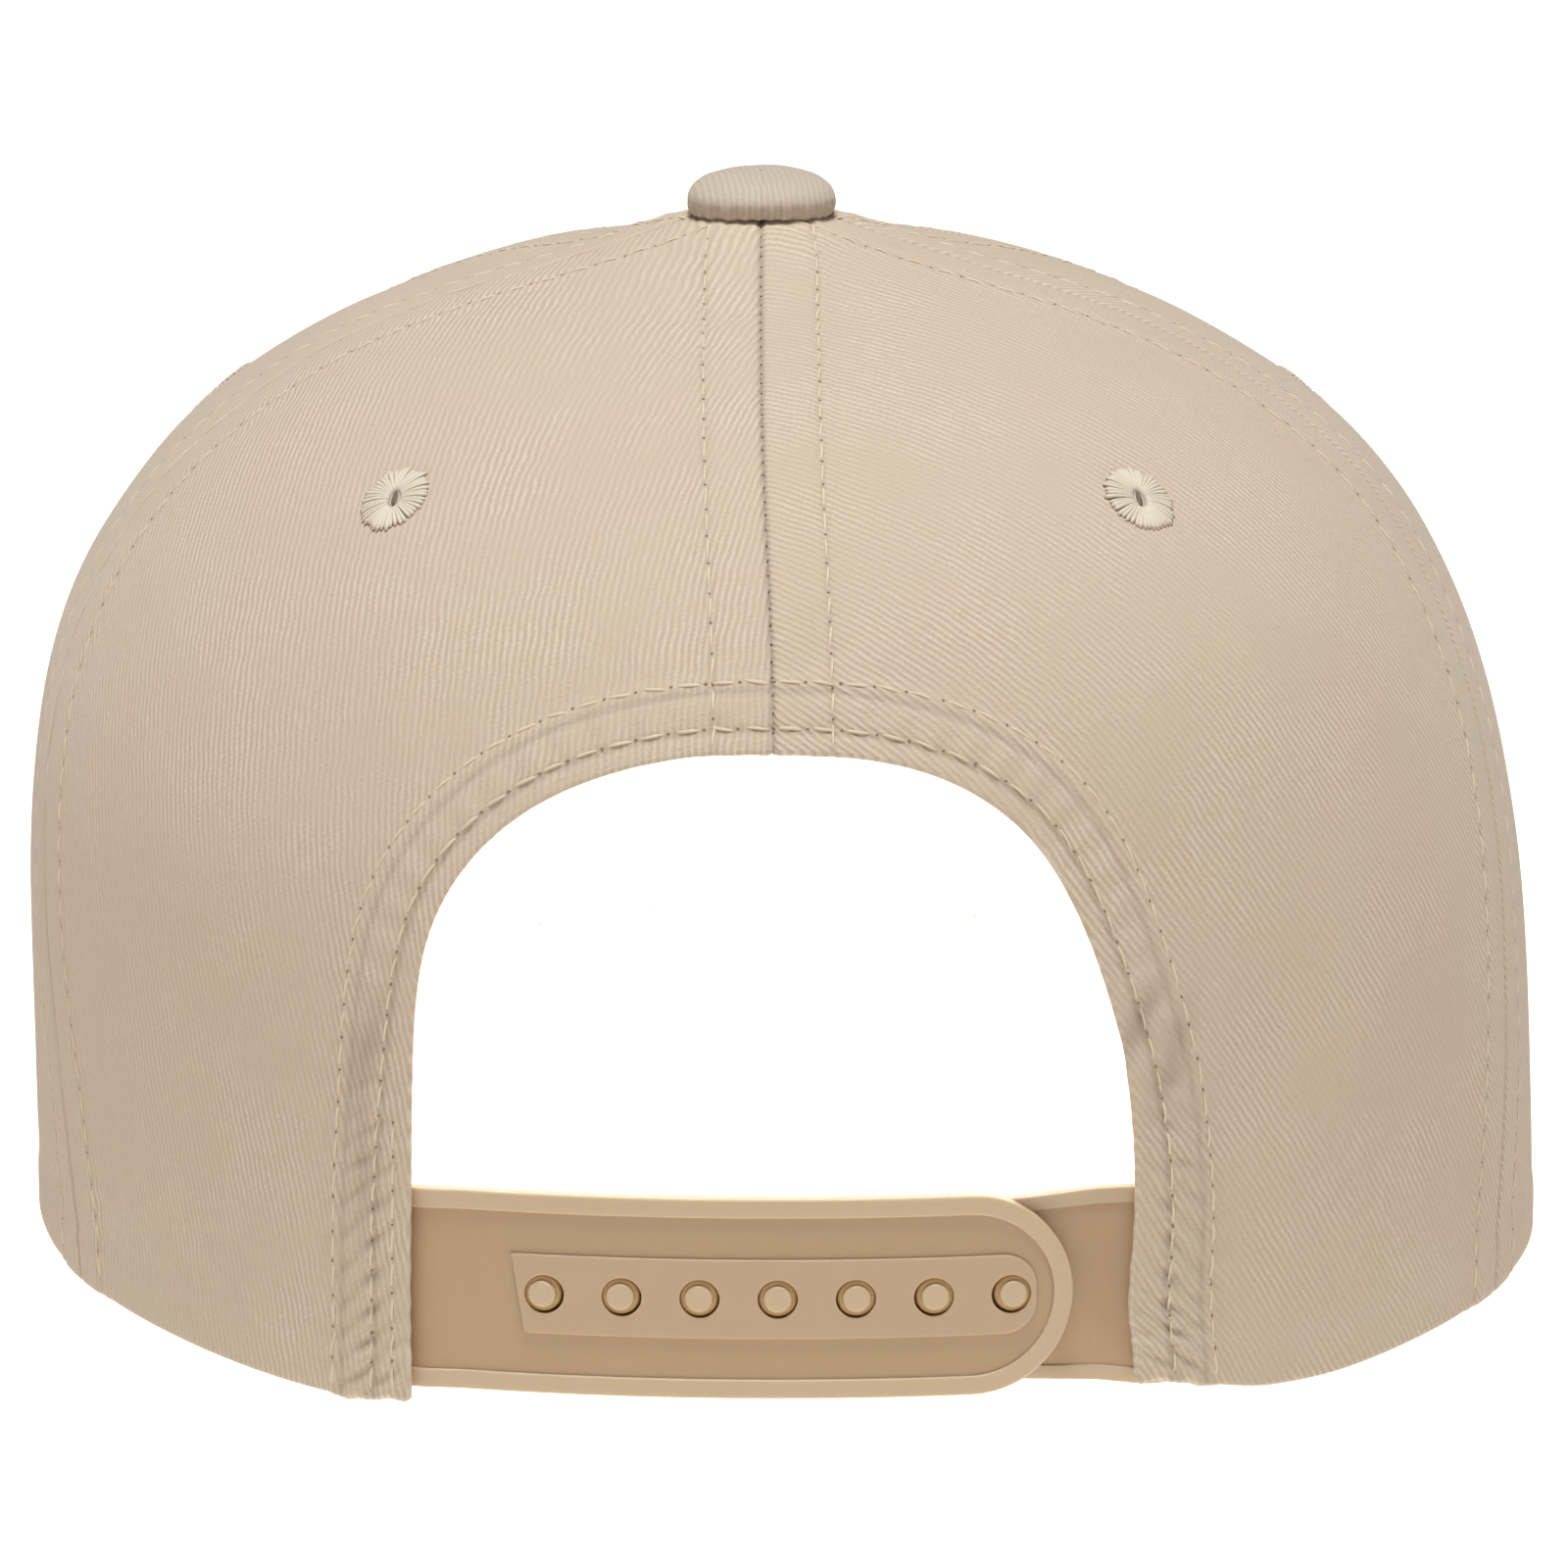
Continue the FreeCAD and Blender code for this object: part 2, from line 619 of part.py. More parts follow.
def add_hole_strap():
    """Outer strap, rooted on the +X side, with a raised border and a boss strip round its holes."""
    raised = "Sizes.strap_radius + Sizes.strap_raise"
    outer, inner = "Sizes.strap_radius", "Sizes.strap_radius - Sizes.strap_thickness"
    low, high, middle = -size("strap_tip"), size("strap_hinge"), size("strap_middle")
    plate = curved_plate("hole_plate", outer, inner, "strap_height", low, high, middle)
    edge = 0.5 * (size("strap_height") - size("strap_border"))
    top = curved_plate("hole_border_top", raised, inner, "strap_border", low, high, middle + edge)
    bottom = curved_plate("hole_border_bottom", raised, inner, "strap_border", low, high, middle - edge)
    boss = curved_plate("hole_boss", raised, inner, "boss_height",
                        -size("boss_reach"), size("boss_reach"), middle)
    blank = fuse("hole_strap_blank", plate, top, bottom, boss, is_node=False)
    rounded = cut("hole_strap_rounded", blank, round_end_tool("hole_strap_end", -1), is_node=False)
    holes = snap_pins("snap_holes", "Sizes.snap_hole_radius", "3 * Sizes.strap_thickness",
                      size("strap_radius") - 2 * size("strap_thickness"))
    cut("hole_strap", rounded, holes)


def add_peg_strap():
    """Inner strap, rooted on the -X side, with a row of pegs that stand in the holes."""
    outer = "Sizes.strap_radius - Sizes.strap_thickness - Sizes.strap_gap"
    inner = "Sizes.strap_radius - 2 * Sizes.strap_thickness - Sizes.strap_gap"
    plate = curved_plate("peg_plate", outer, inner, "strap_height",
                         -size("strap_hinge"), size("strap_tip"), size("strap_middle"))
    rounded = cut("peg_strap_rounded", plate, round_end_tool("peg_strap_end", 1), is_node=False)
    overlap = 0.3
    foot = size("strap_radius") - size("strap_thickness") - size("strap_gap") - overlap
    pegs = snap_pins("snap_pegs", "Sizes.snap_peg_radius", f"Sizes.snap_peg_length + {overlap}", foot)
    fuse("peg_strap", rounded, pegs)


def root_arc(depth, start):
    """Plan arc from the strap's bending line to the root's hidden end under the crown cloth."""
    level = share_at_height(size("strap_middle"))
    first = math.degrees(math.asin(start.x / size("crown_half_width")))
    hidden = crown_point(size("root_end"), level, depth)
    halfway = crown_point(0.5 * (size("root_end") + first), level, depth + size("root_sag"))
    bottom = size("strap_middle") - 0.5 * size("strap_height")
    return Part.Arc(*[Vector(point.x, point.y, bottom) for point in (start, halfway, hidden)])


def root_shape(radius):
    """Fixed end of a strap, rooted on the +X side, whose outer face starts at the given plan radius."""
    across = size("strap_hinge") + size("root_clearance")
    thickness = size("strap_thickness")
    starts = [Vector(across, math.sqrt(r ** 2 - across ** 2) + strap_centre(0).y, 0)
              for r in (radius, radius - thickness)]
    outer = root_arc(size("root_depth"), starts[0])
    inner = root_arc(size("root_depth") + size("root_taper") * thickness, starts[1])
    sides = [outer.toShape(), inner.toShape()]
    tip = Part.LineSegment(sides[0].lastVertex().Point, sides[1].lastVertex().Point).toShape()
    heel = Part.LineSegment(sides[1].firstVertex().Point, sides[0].firstVertex().Point).toShape()
    wire = Part.Wire([sides[0], tip, sides[1], heel])
    return Part.Face(wire).extrude(Vector(0, 0, size("strap_height")))


def add_strap_roots():
    radius = size("strap_radius")
    add_shape("hole_strap_root", root_shape(radius))
    add_shape("peg_strap_root", mirrored(root_shape(radius - size("strap_thickness") - size("strap_gap"))))


# ---- build, check, write ----------------------------------------------------------------------------

add_panels()
add_buckram()
add_tapes()
add_facing()
add_sweatband()
add_visor()
add_button()
add_eyelets()
add_hole_strap()
add_peg_strap()
add_strap_roots()
doc.recompute()

failed = [item.Label for item in doc.Objects if {"Invalid", "Error"} & set(item.State)]
failed += [piece.Label for piece in nodes if piece.Shape.isNull() or not piece.Shape.isValid()]
if failed:
    raise RuntimeError(f"failed objects: {sorted(set(failed))}")

os.makedirs("parts", exist_ok=True)
for piece in nodes:
    piece.Shape.exportStep(os.path.join("parts", piece.Label + ".step"))
    print(f"{piece.Label:24s} {len(piece.Shape.Solids)} solid(s) {piece.Shape.Volume / 1000:8.3f} cm3")
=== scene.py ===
import math

import bpy
import numpy as np
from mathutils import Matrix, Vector, noise
from mathutils.geometry import delaunay_2d_cdt


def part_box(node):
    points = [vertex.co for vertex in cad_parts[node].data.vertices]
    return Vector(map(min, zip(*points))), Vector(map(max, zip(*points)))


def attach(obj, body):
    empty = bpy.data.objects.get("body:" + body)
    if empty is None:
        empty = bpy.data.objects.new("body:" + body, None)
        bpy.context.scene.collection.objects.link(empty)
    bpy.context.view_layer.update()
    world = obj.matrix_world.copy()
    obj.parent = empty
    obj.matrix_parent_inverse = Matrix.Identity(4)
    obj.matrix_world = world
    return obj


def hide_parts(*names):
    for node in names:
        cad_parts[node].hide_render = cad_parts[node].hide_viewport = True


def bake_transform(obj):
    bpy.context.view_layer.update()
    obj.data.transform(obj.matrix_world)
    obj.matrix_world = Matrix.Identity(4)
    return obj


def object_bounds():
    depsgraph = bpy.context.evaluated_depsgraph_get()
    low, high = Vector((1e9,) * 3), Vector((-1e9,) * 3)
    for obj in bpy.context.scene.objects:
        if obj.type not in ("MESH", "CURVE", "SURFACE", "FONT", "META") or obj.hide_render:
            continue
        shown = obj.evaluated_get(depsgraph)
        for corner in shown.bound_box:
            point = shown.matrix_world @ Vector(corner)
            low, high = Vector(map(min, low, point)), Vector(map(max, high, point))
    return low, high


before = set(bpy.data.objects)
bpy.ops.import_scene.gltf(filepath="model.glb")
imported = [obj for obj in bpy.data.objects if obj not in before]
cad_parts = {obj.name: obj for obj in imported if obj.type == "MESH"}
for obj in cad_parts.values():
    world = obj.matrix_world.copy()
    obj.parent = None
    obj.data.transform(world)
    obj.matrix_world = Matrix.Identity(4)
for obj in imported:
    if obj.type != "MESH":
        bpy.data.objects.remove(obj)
cad_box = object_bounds()

# The cap's axes: +Z up, -Y towards the visor, +X the wearer's left. Metres.
# Azimuths run from the back (+Y) round towards +X; a share runs from 0 at the rim to 1 at the apex.

MM = 0.001
HALF_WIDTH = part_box("side_left_panel")[1].x
HALF_FRONT = -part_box("front_left_panel")[0].y
HALF_BACK = HALF_FRONT * 95 / 99
CROWN_PEAK = 3.5 * MM
PEAK_REACH = 30 * MM
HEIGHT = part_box("front_left_panel")[1].z - 0.99 * CROWN_PEAK
SQUARENESS = 4.18
BACK_SEAM = (67.0, 90.0)
FRONT_SEAM = (122.0, 134.0)
ARCH_HALF_WIDTH = 41.8 * MM
ARCH_SPRING = 26.0 * MM
ARCH_TOP = 78.3 * MM
CLOTH = 0.8 * MM
VISOR_LOW, VISOR_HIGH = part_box("visor_top_cover")
VISOR_HALF_WIDTH = VISOR_HIGH.x
VISOR_REACH = -VISOR_LOW.y
VISOR_CORNER = 48.0 * MM
VISOR_SQUARENESS = 2.5
VISOR_ROOT_ANGLE = 62.0
VISOR_THICKNESS = 3.6 * MM
RIM_RISE = 8.0 * MM
RIM_POWER = 1.5

TWO_PI = 2 * math.pi
SIDES = (("left", 1), ("right", -1))


# ---- small helpers ---------------------------------------------------------------------

def smooth(low, high, value):
    share = np.clip((value - low) / (high - low), 0.0, 1.0)
    return share * share * (3 - 2 * share)


def bell(value, centre, width):
    return np.exp(-((value - centre) / width) ** 2)


def unit(vectors):
    return vectors / np.maximum(np.linalg.norm(vectors, axis=-1, keepdims=True), 1e-12)


def noise_at(points, size, seed):
    """Smooth noise from -1 to 1 at each point, with features of that size in metres."""
    flat = np.asarray(points, float).reshape(-1, 3) / size + seed * 7.31
    values = np.array([noise.noise(Vector(p)) for p in flat])
    return values.reshape(np.asarray(points).shape[:-1])


def run_along(points):
    """Distance of each point of a line from the line's start."""
    return np.concatenate([[0.0], np.cumsum(np.linalg.norm(np.diff(points, axis=0), axis=1))])


def read_off(places, run, values):
    """Rows of values, read off at places along a run."""
    return np.stack([np.interp(places, run, column) for column in values.T], -1)


def ring_faces(first, second):
    """Quads between two closed rings of point numbers."""
    return np.stack([first, second, np.roll(second, -1), np.roll(first, -1)], -1)


def link(thing):
    bpy.context.scene.collection.objects.link(thing)
    return thing


def grid_faces(rows, columns, start=0):
    corner = start + np.arange((rows - 1) * columns).reshape(rows - 1, columns)[:, :-1]
    return np.stack([corner, corner + 1, corner + columns + 1, corner + columns], -1).reshape(-1, 4)


def new_piece(name, points, faces, material, uv=None, shade=None, body="crown", nodes=(), slot=None):
    """A mesh object that rides on a body; uv is per point in metres, shade darkens the cloth."""
    mesh = bpy.data.meshes.new(name)
    places = np.asarray(points, float).reshape(-1, 3).tolist()
    mesh.from_pydata(places, [], [list(map(int, face)) for face in faces])
    loops = np.zeros(len(mesh.loops), np.int32)
    mesh.loops.foreach_get("vertex_index", loops)
    if uv is not None:
        layer = mesh.uv_layers.new(name="cloth")
        layer.data.foreach_set("uv", np.asarray(uv, float).reshape(-1, 2)[loops].ravel())
    if shade is not None:
        values = mesh.attributes.new("shade", "FLOAT", "POINT")
        values.data.foreach_set("value", np.asarray(shade, np.float32).ravel())
    mesh.polygons.foreach_set("use_smooth", np.ones(len(mesh.polygons), bool))
    mesh.materials.append(material)
    mesh.update()
    piece = link(bpy.data.objects.new(name, mesh))
    if body:
        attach(piece, body)
    if nodes:
        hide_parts(*nodes)
    return piece


# ---- the crown's surface ------------------------------------------------------------------

def profile(angle):
    return np.cos(angle), np.abs(np.sin(angle)) ** (2 / SQUARENESS)


PROFILE_ANGLES = 0.5 * math.pi * np.linspace(0, 1, 2001) ** 2
PROFILE_WIDTH, PROFILE_LEVEL = profile(PROFILE_ANGLES)
PROFILE_RUN = run_along(np.stack([PROFILE_WIDTH * HALF_WIDTH, PROFILE_LEVEL * HEIGHT], -1))
PROFILE_LENGTH = PROFILE_RUN[-1]


def angle_at(share):
    return np.interp(np.asarray(share) * PROFILE_LENGTH, PROFILE_RUN, PROFILE_ANGLES)


def share_at_height(height):
    return np.interp(height, PROFILE_LEVEL * HEIGHT, PROFILE_RUN / PROFILE_LENGTH)


def radius_at(share):
    return HALF_WIDTH * np.maximum(profile(angle_at(share))[0], 1e-4)


def arch_height(across):
    share = np.clip(np.abs(across) / VISOR_HALF_WIDTH, 0.0, 1.0)
    return RIM_RISE * (1 - share ** 2) ** RIM_POWER


def peak(radius):
    share = np.minimum(radius / PEAK_REACH, 1.0)
    return CROWN_PEAK * (1 - share ** 2) ** 2


def crown_base(azimuth, share):
    """Point and outward normal of the crown's plain outer surface."""
    around = np.radians(azimuth)
    width, level = profile(angle_at(share))
    length = np.where(np.cos(around) > 0, HALF_BACK, HALF_FRONT)
    across = HALF_WIDTH * width * np.sin(around)
    along = length * width * np.cos(around)
    slope = np.stack([2 * across / HALF_WIDTH ** 2, 2 * along / length ** 2,
                      SQUARENESS * level ** (SQUARENESS - 1) / HEIGHT + 0 * across], -1)
    rise = np.where(np.cos(around) > 0, 0.0, arch_height(HALF_WIDTH * np.sin(around)))
    up = HEIGHT * level + rise * (1 - level) + peak(np.hypot(across, along))
    point = np.stack([across, along, up], -1)
    return point, unit(slope)


def settle(points):
    """The slight lean and unevenness of a real, soft crown; the rim at the visor stays put."""
    points = np.array(points, float)
    x, y, z = points[..., 0].copy(), points[..., 1], points[..., 2].copy()
    back = smooth(-30 * MM, 20 * MM, y)
    side = smooth(45 * MM, 85 * MM, np.abs(x))
    middle = 0.5 * MM + 1.5 * MM * smooth(80 * MM, 118 * MM, z)
    shoulder = 1.9 * MM * bell(z, 60 * MM, 17 * MM) * smooth(8 * MM, 28 * MM, np.abs(x)) * back
    lean = -1.2 * MM + 3.1 * MM * smooth(4 * MM, 80 * MM, z)
    shift = (1 - side) * (middle + shoulder) + side * lean
    free = 1 - (1 - back) * (1 - smooth(10 * MM, 70 * MM, z))
    tilt = 0.75 * MM * np.sign(x) * smooth(50 * MM, 80 * MM, np.abs(x)) - 0.8 * MM * bell(x, -64 * MM, 9 * MM)
    foot = 2.2 * MM * smooth(-58 * MM, -45 * MM, x) * (x < 0) + 1.0 * MM * smooth(50 * MM, 43 * MM, np.abs(x))
    sag = 0.6 * MM * smooth(70 * MM, 115 * MM, z) * (1 + 0.5 * smooth(-10 * MM, -40 * MM, x))
    edge = back * smooth(60 * MM, 75 * MM, y) * bell(np.abs(x), 42 * MM, 12 * MM)
    tuck = 0.9 * MM * bell(z, 12 * MM, 8 * MM) * (x < 0) - 0.75 * MM * np.sign(x) * bell(z, 48 * MM, 24 * MM)
    points[..., 0] = x + shift * free + tuck * edge
    rise = tilt * (1 - smooth(0, 60 * MM, z)) + foot * (1 - smooth(0, 15 * MM, z))
    points[..., 2] = z - sag + back * rise
    return points


# ---- seams, hems and the cloth's relief ---------------------------------------------------

SEAM_ROW = 6.8 * MM
HEM_ROWS = (3.0 * MM, 7.6 * MM)
HEM_SPREAD = 2.0 * MM
STITCH_PITCH = 3.9 * MM


def seam_azimuth(seam, share):
    if seam == "centre_back":
        return 0.0 * np.asarray(share)
    if seam == "centre_front":
        return 180.0 + 0.0 * np.asarray(share)
    low, high = BACK_SEAM if seam == "back" else FRONT_SEAM
    return low + (high - low) * np.asarray(share)


def arch_line(grow=0.0, count=400):
    """Right half of the back opening's edge, from its foot at the rim up to its top, as X and Z."""
    turn = np.linspace(0, 0.5 * math.pi, count)
    across = (ARCH_HALF_WIDTH + grow) * np.cos(turn) ** (2 / 2.3)
    up = ARCH_SPRING + (ARCH_TOP - ARCH_SPRING + grow) * np.sin(turn) ** (2 / 3.0)
    foot_z = np.linspace(0, ARCH_SPRING, count // 4, endpoint=False)
    across = np.concatenate([np.full(len(foot_z), ARCH_HALF_WIDTH + grow), across])
    up = np.concatenate([foot_z, up])
    run = run_along(np.stack([across, up], -1))
    even = np.linspace(0, run[-1], count)
    return np.interp(even, run, across), np.interp(even, run, up)


def arch_on_crown(grow=0.0, count=400):
    """The same edge as azimuths and shares."""
    across, up = arch_line(grow, count)
    share = share_at_height(up)
    azimuth = np.degrees(np.arcsin(np.clip(across / radius_at(share), -1, 1)))
    return azimuth, share


ARCH_AZIMUTH, ARCH_SHARE = arch_on_crown()
ARCH_POINTS = crown_base(ARCH_AZIMUTH, ARCH_SHARE)[0]
ARCH_RUN = run_along(ARCH_POINTS)


def arch_distance(azimuth, share):
    """Distance from the opening's edge, and how far round the edge the nearest point is."""
    points = crown_base(np.abs(azimuth), share)[0].reshape(-1, 3)
    best = np.full(len(points), 1e9)
    along = np.zeros(len(points))
    for start in range(0, len(ARCH_POINTS), 50):
        piece = ARCH_POINTS[start:start + 50]
        gap = np.linalg.norm(points[:, None, :] - piece[None, :, :], axis=2)
        nearest = gap.argmin(1)
        value = gap[np.arange(len(points)), nearest]
        closer = value < best
        best[closer] = value[closer]
        along[closer] = ARCH_RUN[start + nearest[closer]]
    return best.reshape(np.shape(azimuth)), along.reshape(np.shape(azimuth))


def seam_relief(distance, along, seed):
    """Height of the cloth beside a seam: groove, raised allowance and the dip of the topstitching."""
    wobble = 0.6 * MM * np.sin(TWO_PI * along / (31 * MM) + seed)
    pull = np.sin(TWO_PI * along / (1.03 * STITCH_PITCH) + 1.7 * np.sin(along / (17 * MM) + seed))
    return (0.38 * MM * (1 - smooth(SEAM_ROW + 0.1 * MM, SEAM_ROW + 2.2 * MM, distance))
            - 0.4 * MM * bell(distance, 0.0, 0.45 * MM)
            - 0.26 * MM * bell(distance, SEAM_ROW, 0.75 * MM)
            + 0.07 * MM * pull * bell(distance, SEAM_ROW + wobble, 2.6 * MM))


def hem_spread(share):
    """How much further in the hem's rows run beside the straps than round the top of the opening."""
    height = HEIGHT * profile(angle_at(share))[1]
    return HEM_SPREAD * (1 - smooth(18 * MM, 55 * MM, height))


def hem_row(offset, count):
    """Azimuths and shares of a row that far from the opening's edge."""
    azimuth, share = arch_on_crown(offset, count)
    return azimuth + np.degrees(hem_spread(share) / radius_at(share)), share


def hem_relief(distance, along, spread, seed):
    """Height of the turned-in hem, with its rows sunk in and puckers between them, and its shade."""
    near_strap = spread / HEM_SPREAD
    pull = np.sin(TWO_PI * along / (1.1 * STITCH_PITCH) + 1.3 * np.sin(along / (13 * MM) + seed))
    ripple = np.sin(TWO_PI * (along + 0.8 * distance) / (3.4 * MM) + 2.2 * np.sin(along / (6 * MM) + seed))
    height = 0.45 * MM * (1 - smooth(HEM_ROWS[1] + 0.6 * MM, HEM_ROWS[1] + 2.6 * MM, distance - spread))
    shade = 0.0 * distance
    for row in HEM_ROWS:
        height = height - 0.3 * MM * bell(distance - spread, row, 0.7 * MM)
        shade = shade + 0.24 * bell(distance - spread, row, 0.36 * MM)
    height = height + 0.15 * MM * pull * bell(distance, 5.2 * MM, 3.0 * MM)
    height = height + 0.2 * MM * near_strap * ripple * bell(distance, 6.0 * MM, 5.0 * MM)
    shade = shade + 0.14 * near_strap * np.maximum(-ripple, 0.0) * bell(distance, 6.0 * MM, 4.0 * MM)
    return height, shade


PANEL_SEAMS = {"back": ("centre_back", "back"), "side": ("back", "front"), "front": ("front", "centre_front")}


def panel_relief(panel, azimuth, share):
    """Height of a panel's cloth over the plain crown, for azimuths on the +X side, and its shade."""
    along = share * PROFILE_LENGTH
    radius = radius_at(share)
    height = np.zeros(np.shape(azimuth))
    shade = np.zeros(np.shape(azimuth))
    for number, seam in enumerate(PANEL_SEAMS[panel]):
        distance = np.abs(np.radians(azimuth - seam_azimuth(seam, share))) * radius
        height = height + seam_relief(distance, along, 2.0 * number + len(panel))
        shade = shade + 0.4 * bell(distance, 0.0, 0.3 * MM) + 0.2 * bell(distance, SEAM_ROW, 0.34 * MM)
    height = height + 0.25 * MM * (1 - smooth(4 * MM, 7 * MM, along))
    if panel == "back":
        distance, round_edge = arch_distance(azimuth, share)
        hem_height, hem_shade = hem_relief(distance, round_edge, hem_spread(share), 0.4)
        height, shade = height + hem_height, np.maximum(shade, hem_shade)
    return height, shade


def folds(points, sign):
    """Soft folds and dents of the back panels, in metres along the normal; points are unsettled."""
    x, y, z = points[..., 0], points[..., 1], points[..., 2]
    wave = 0.55 * MM * noise_at(points * (1.0, 1.0, 0.6), 38 * MM, 3 + sign)
    wave = wave + 0.22 * MM * noise_at(points * (1.0, 1.0, 0.8), 15 * MM, 11 + sign)
    fade = smooth(0.0, 12 * MM, z) * smooth(0.0, 20 * MM, np.hypot(x, y))
    wave = wave * smooth(0.0, 12 * MM, np.abs(x))
    swell = 0.8 * MM * bell(x, -70 * MM, 12 * MM) * bell(z, 52 * MM, 16 * MM)
    dent = -0.9 * MM * bell(x, -58 * MM, 7 * MM) * bell(z - 0.8 * (np.abs(x) - 58 * MM), 40 * MM, 14 * MM)
    seat = 1.9 * MM * bell(x, 0.0, 9.5 * MM) * bell(y, 3 * MM, 11 * MM) * smooth(90 * MM, 110 * MM, z)
    return wave * fade + (dent + swell) * (y > 0) + seat + creases(x, z) * (y > 0)


def creases(x, z):
    """Short sharp creases beside the back opening, where the straps pull."""
    right = -0.7 * MM * bell(x + 0.5 * (z - 45 * MM), -43.6 * MM, 1.6 * MM) * bell(z, 45 * MM, 4 * MM)
    right = right - 0.5 * MM * bell(x + 0.35 * (z - 40 * MM), -47 * MM, 1.8 * MM) * bell(z, 40 * MM, 6 * MM)
    left = -0.6 * MM * bell(x + 0.3 * (z - 42 * MM), 46.5 * MM, 1.5 * MM) * bell(z, 42 * MM, 6 * MM)
    left = left - 0.45 * MM * bell(x, 47.6 * MM, 1.1 * MM) * bell(z, 28 * MM, 9 * MM)
    return right + left


# ---- closed sheets ----------------------------------------------------------------------------

CLOTH_TAPER = 1.25


def cloth_uv(azimuth, share, middle, grain):
    """Where each point lies on the flat cloth, in metres, with the grain at an angle to the middle."""
    angle = np.radians(azimuth - middle)
    radius = radius_at(share)
    slope = np.gradient(PROFILE_WIDTH * HALF_WIDTH, PROFILE_RUN)
    closing = np.abs(np.interp(np.asarray(share) * PROFILE_LENGTH, PROFILE_RUN, slope))
    u = HALF_WIDTH ** (1 - CLOTH_TAPER) * radius ** CLOTH_TAPER * angle
    v = np.asarray(share) * PROFILE_LENGTH + 0.5 * CLOTH_TAPER * radius * closing * angle ** 2
    turn = math.radians(grain)
    return np.stack([u * math.cos(turn) - v * math.sin(turn), u * math.sin(turn) + v * math.cos(turn)], -1)


ROLL_STEPS = 3


def closed_sheet(name, outer, inner, uv, material, shade=None, roll=0.5, **placing):
    """Closed thin solid from two skins; its edges are rounded by roll times half of its thickness."""
    rows, columns = outer.shape[:2]
    points = [outer.reshape(-1, 3), inner.reshape(-1, 3)]
    uvs = [uv.reshape(-1, 2)] * 2
    dark = np.zeros((rows, columns)) if shade is None else shade
    darks = [dark.ravel(), dark.ravel()]
    faces = [grid_faces(rows, columns), grid_faces(rows, columns, rows * columns)[:, ::-1]]
    index = np.arange(rows * columns).reshape(rows, columns)
    loop = np.concatenate([index[0, :-1], index[:-1, -1], index[-1, :0:-1], index[:0:-1, 0]])
    step_in = np.concatenate([index[1, :-1], index[:-1, -2], index[-2, :0:-1], index[:0:-1, 1]])
    out_flat, in_flat = outer.reshape(-1, 3), inner.reshape(-1, 3)
    middle = 0.5 * (out_flat[loop] + in_flat[loop])
    half = 0.5 * (out_flat[loop] - in_flat[loop])
    outwards = unit(out_flat[loop] - out_flat[step_in]) * np.linalg.norm(half, axis=1)[:, None] * roll
    previous = loop
    count = 2 * rows * columns
    ring = len(loop)
    for step in range(1, ROLL_STEPS + 1):
        turn = math.pi * step / (ROLL_STEPS + 1)
        points.append(middle + half * math.cos(turn) + outwards * math.sin(turn))
        uvs.append(uv.reshape(-1, 2)[loop])
        darks.append(dark.ravel()[loop])
        current = count + np.arange(ring)
        faces.append(ring_faces(previous, current))
        previous = current
        count += ring
    faces.append(ring_faces(previous, loop + rows * columns))
    return new_piece(name, np.concatenate(points), np.concatenate(faces), material,
                     np.concatenate(uvs), np.concatenate(darks), **placing)


def clustered(count, edge=0.6):
    """Shares from 0 to 1 that lie closer together near both ends."""
    even = np.linspace(0, 1, count)
    return even - edge * np.sin(TWO_PI * even) / TWO_PI


def mirror_sheet(arrays, sign):
    if sign > 0:
        return arrays
    return [a * (-1.0, 1.0, 1.0) for a in arrays]


# ---- materials ------------------------------------------------------------------------------------

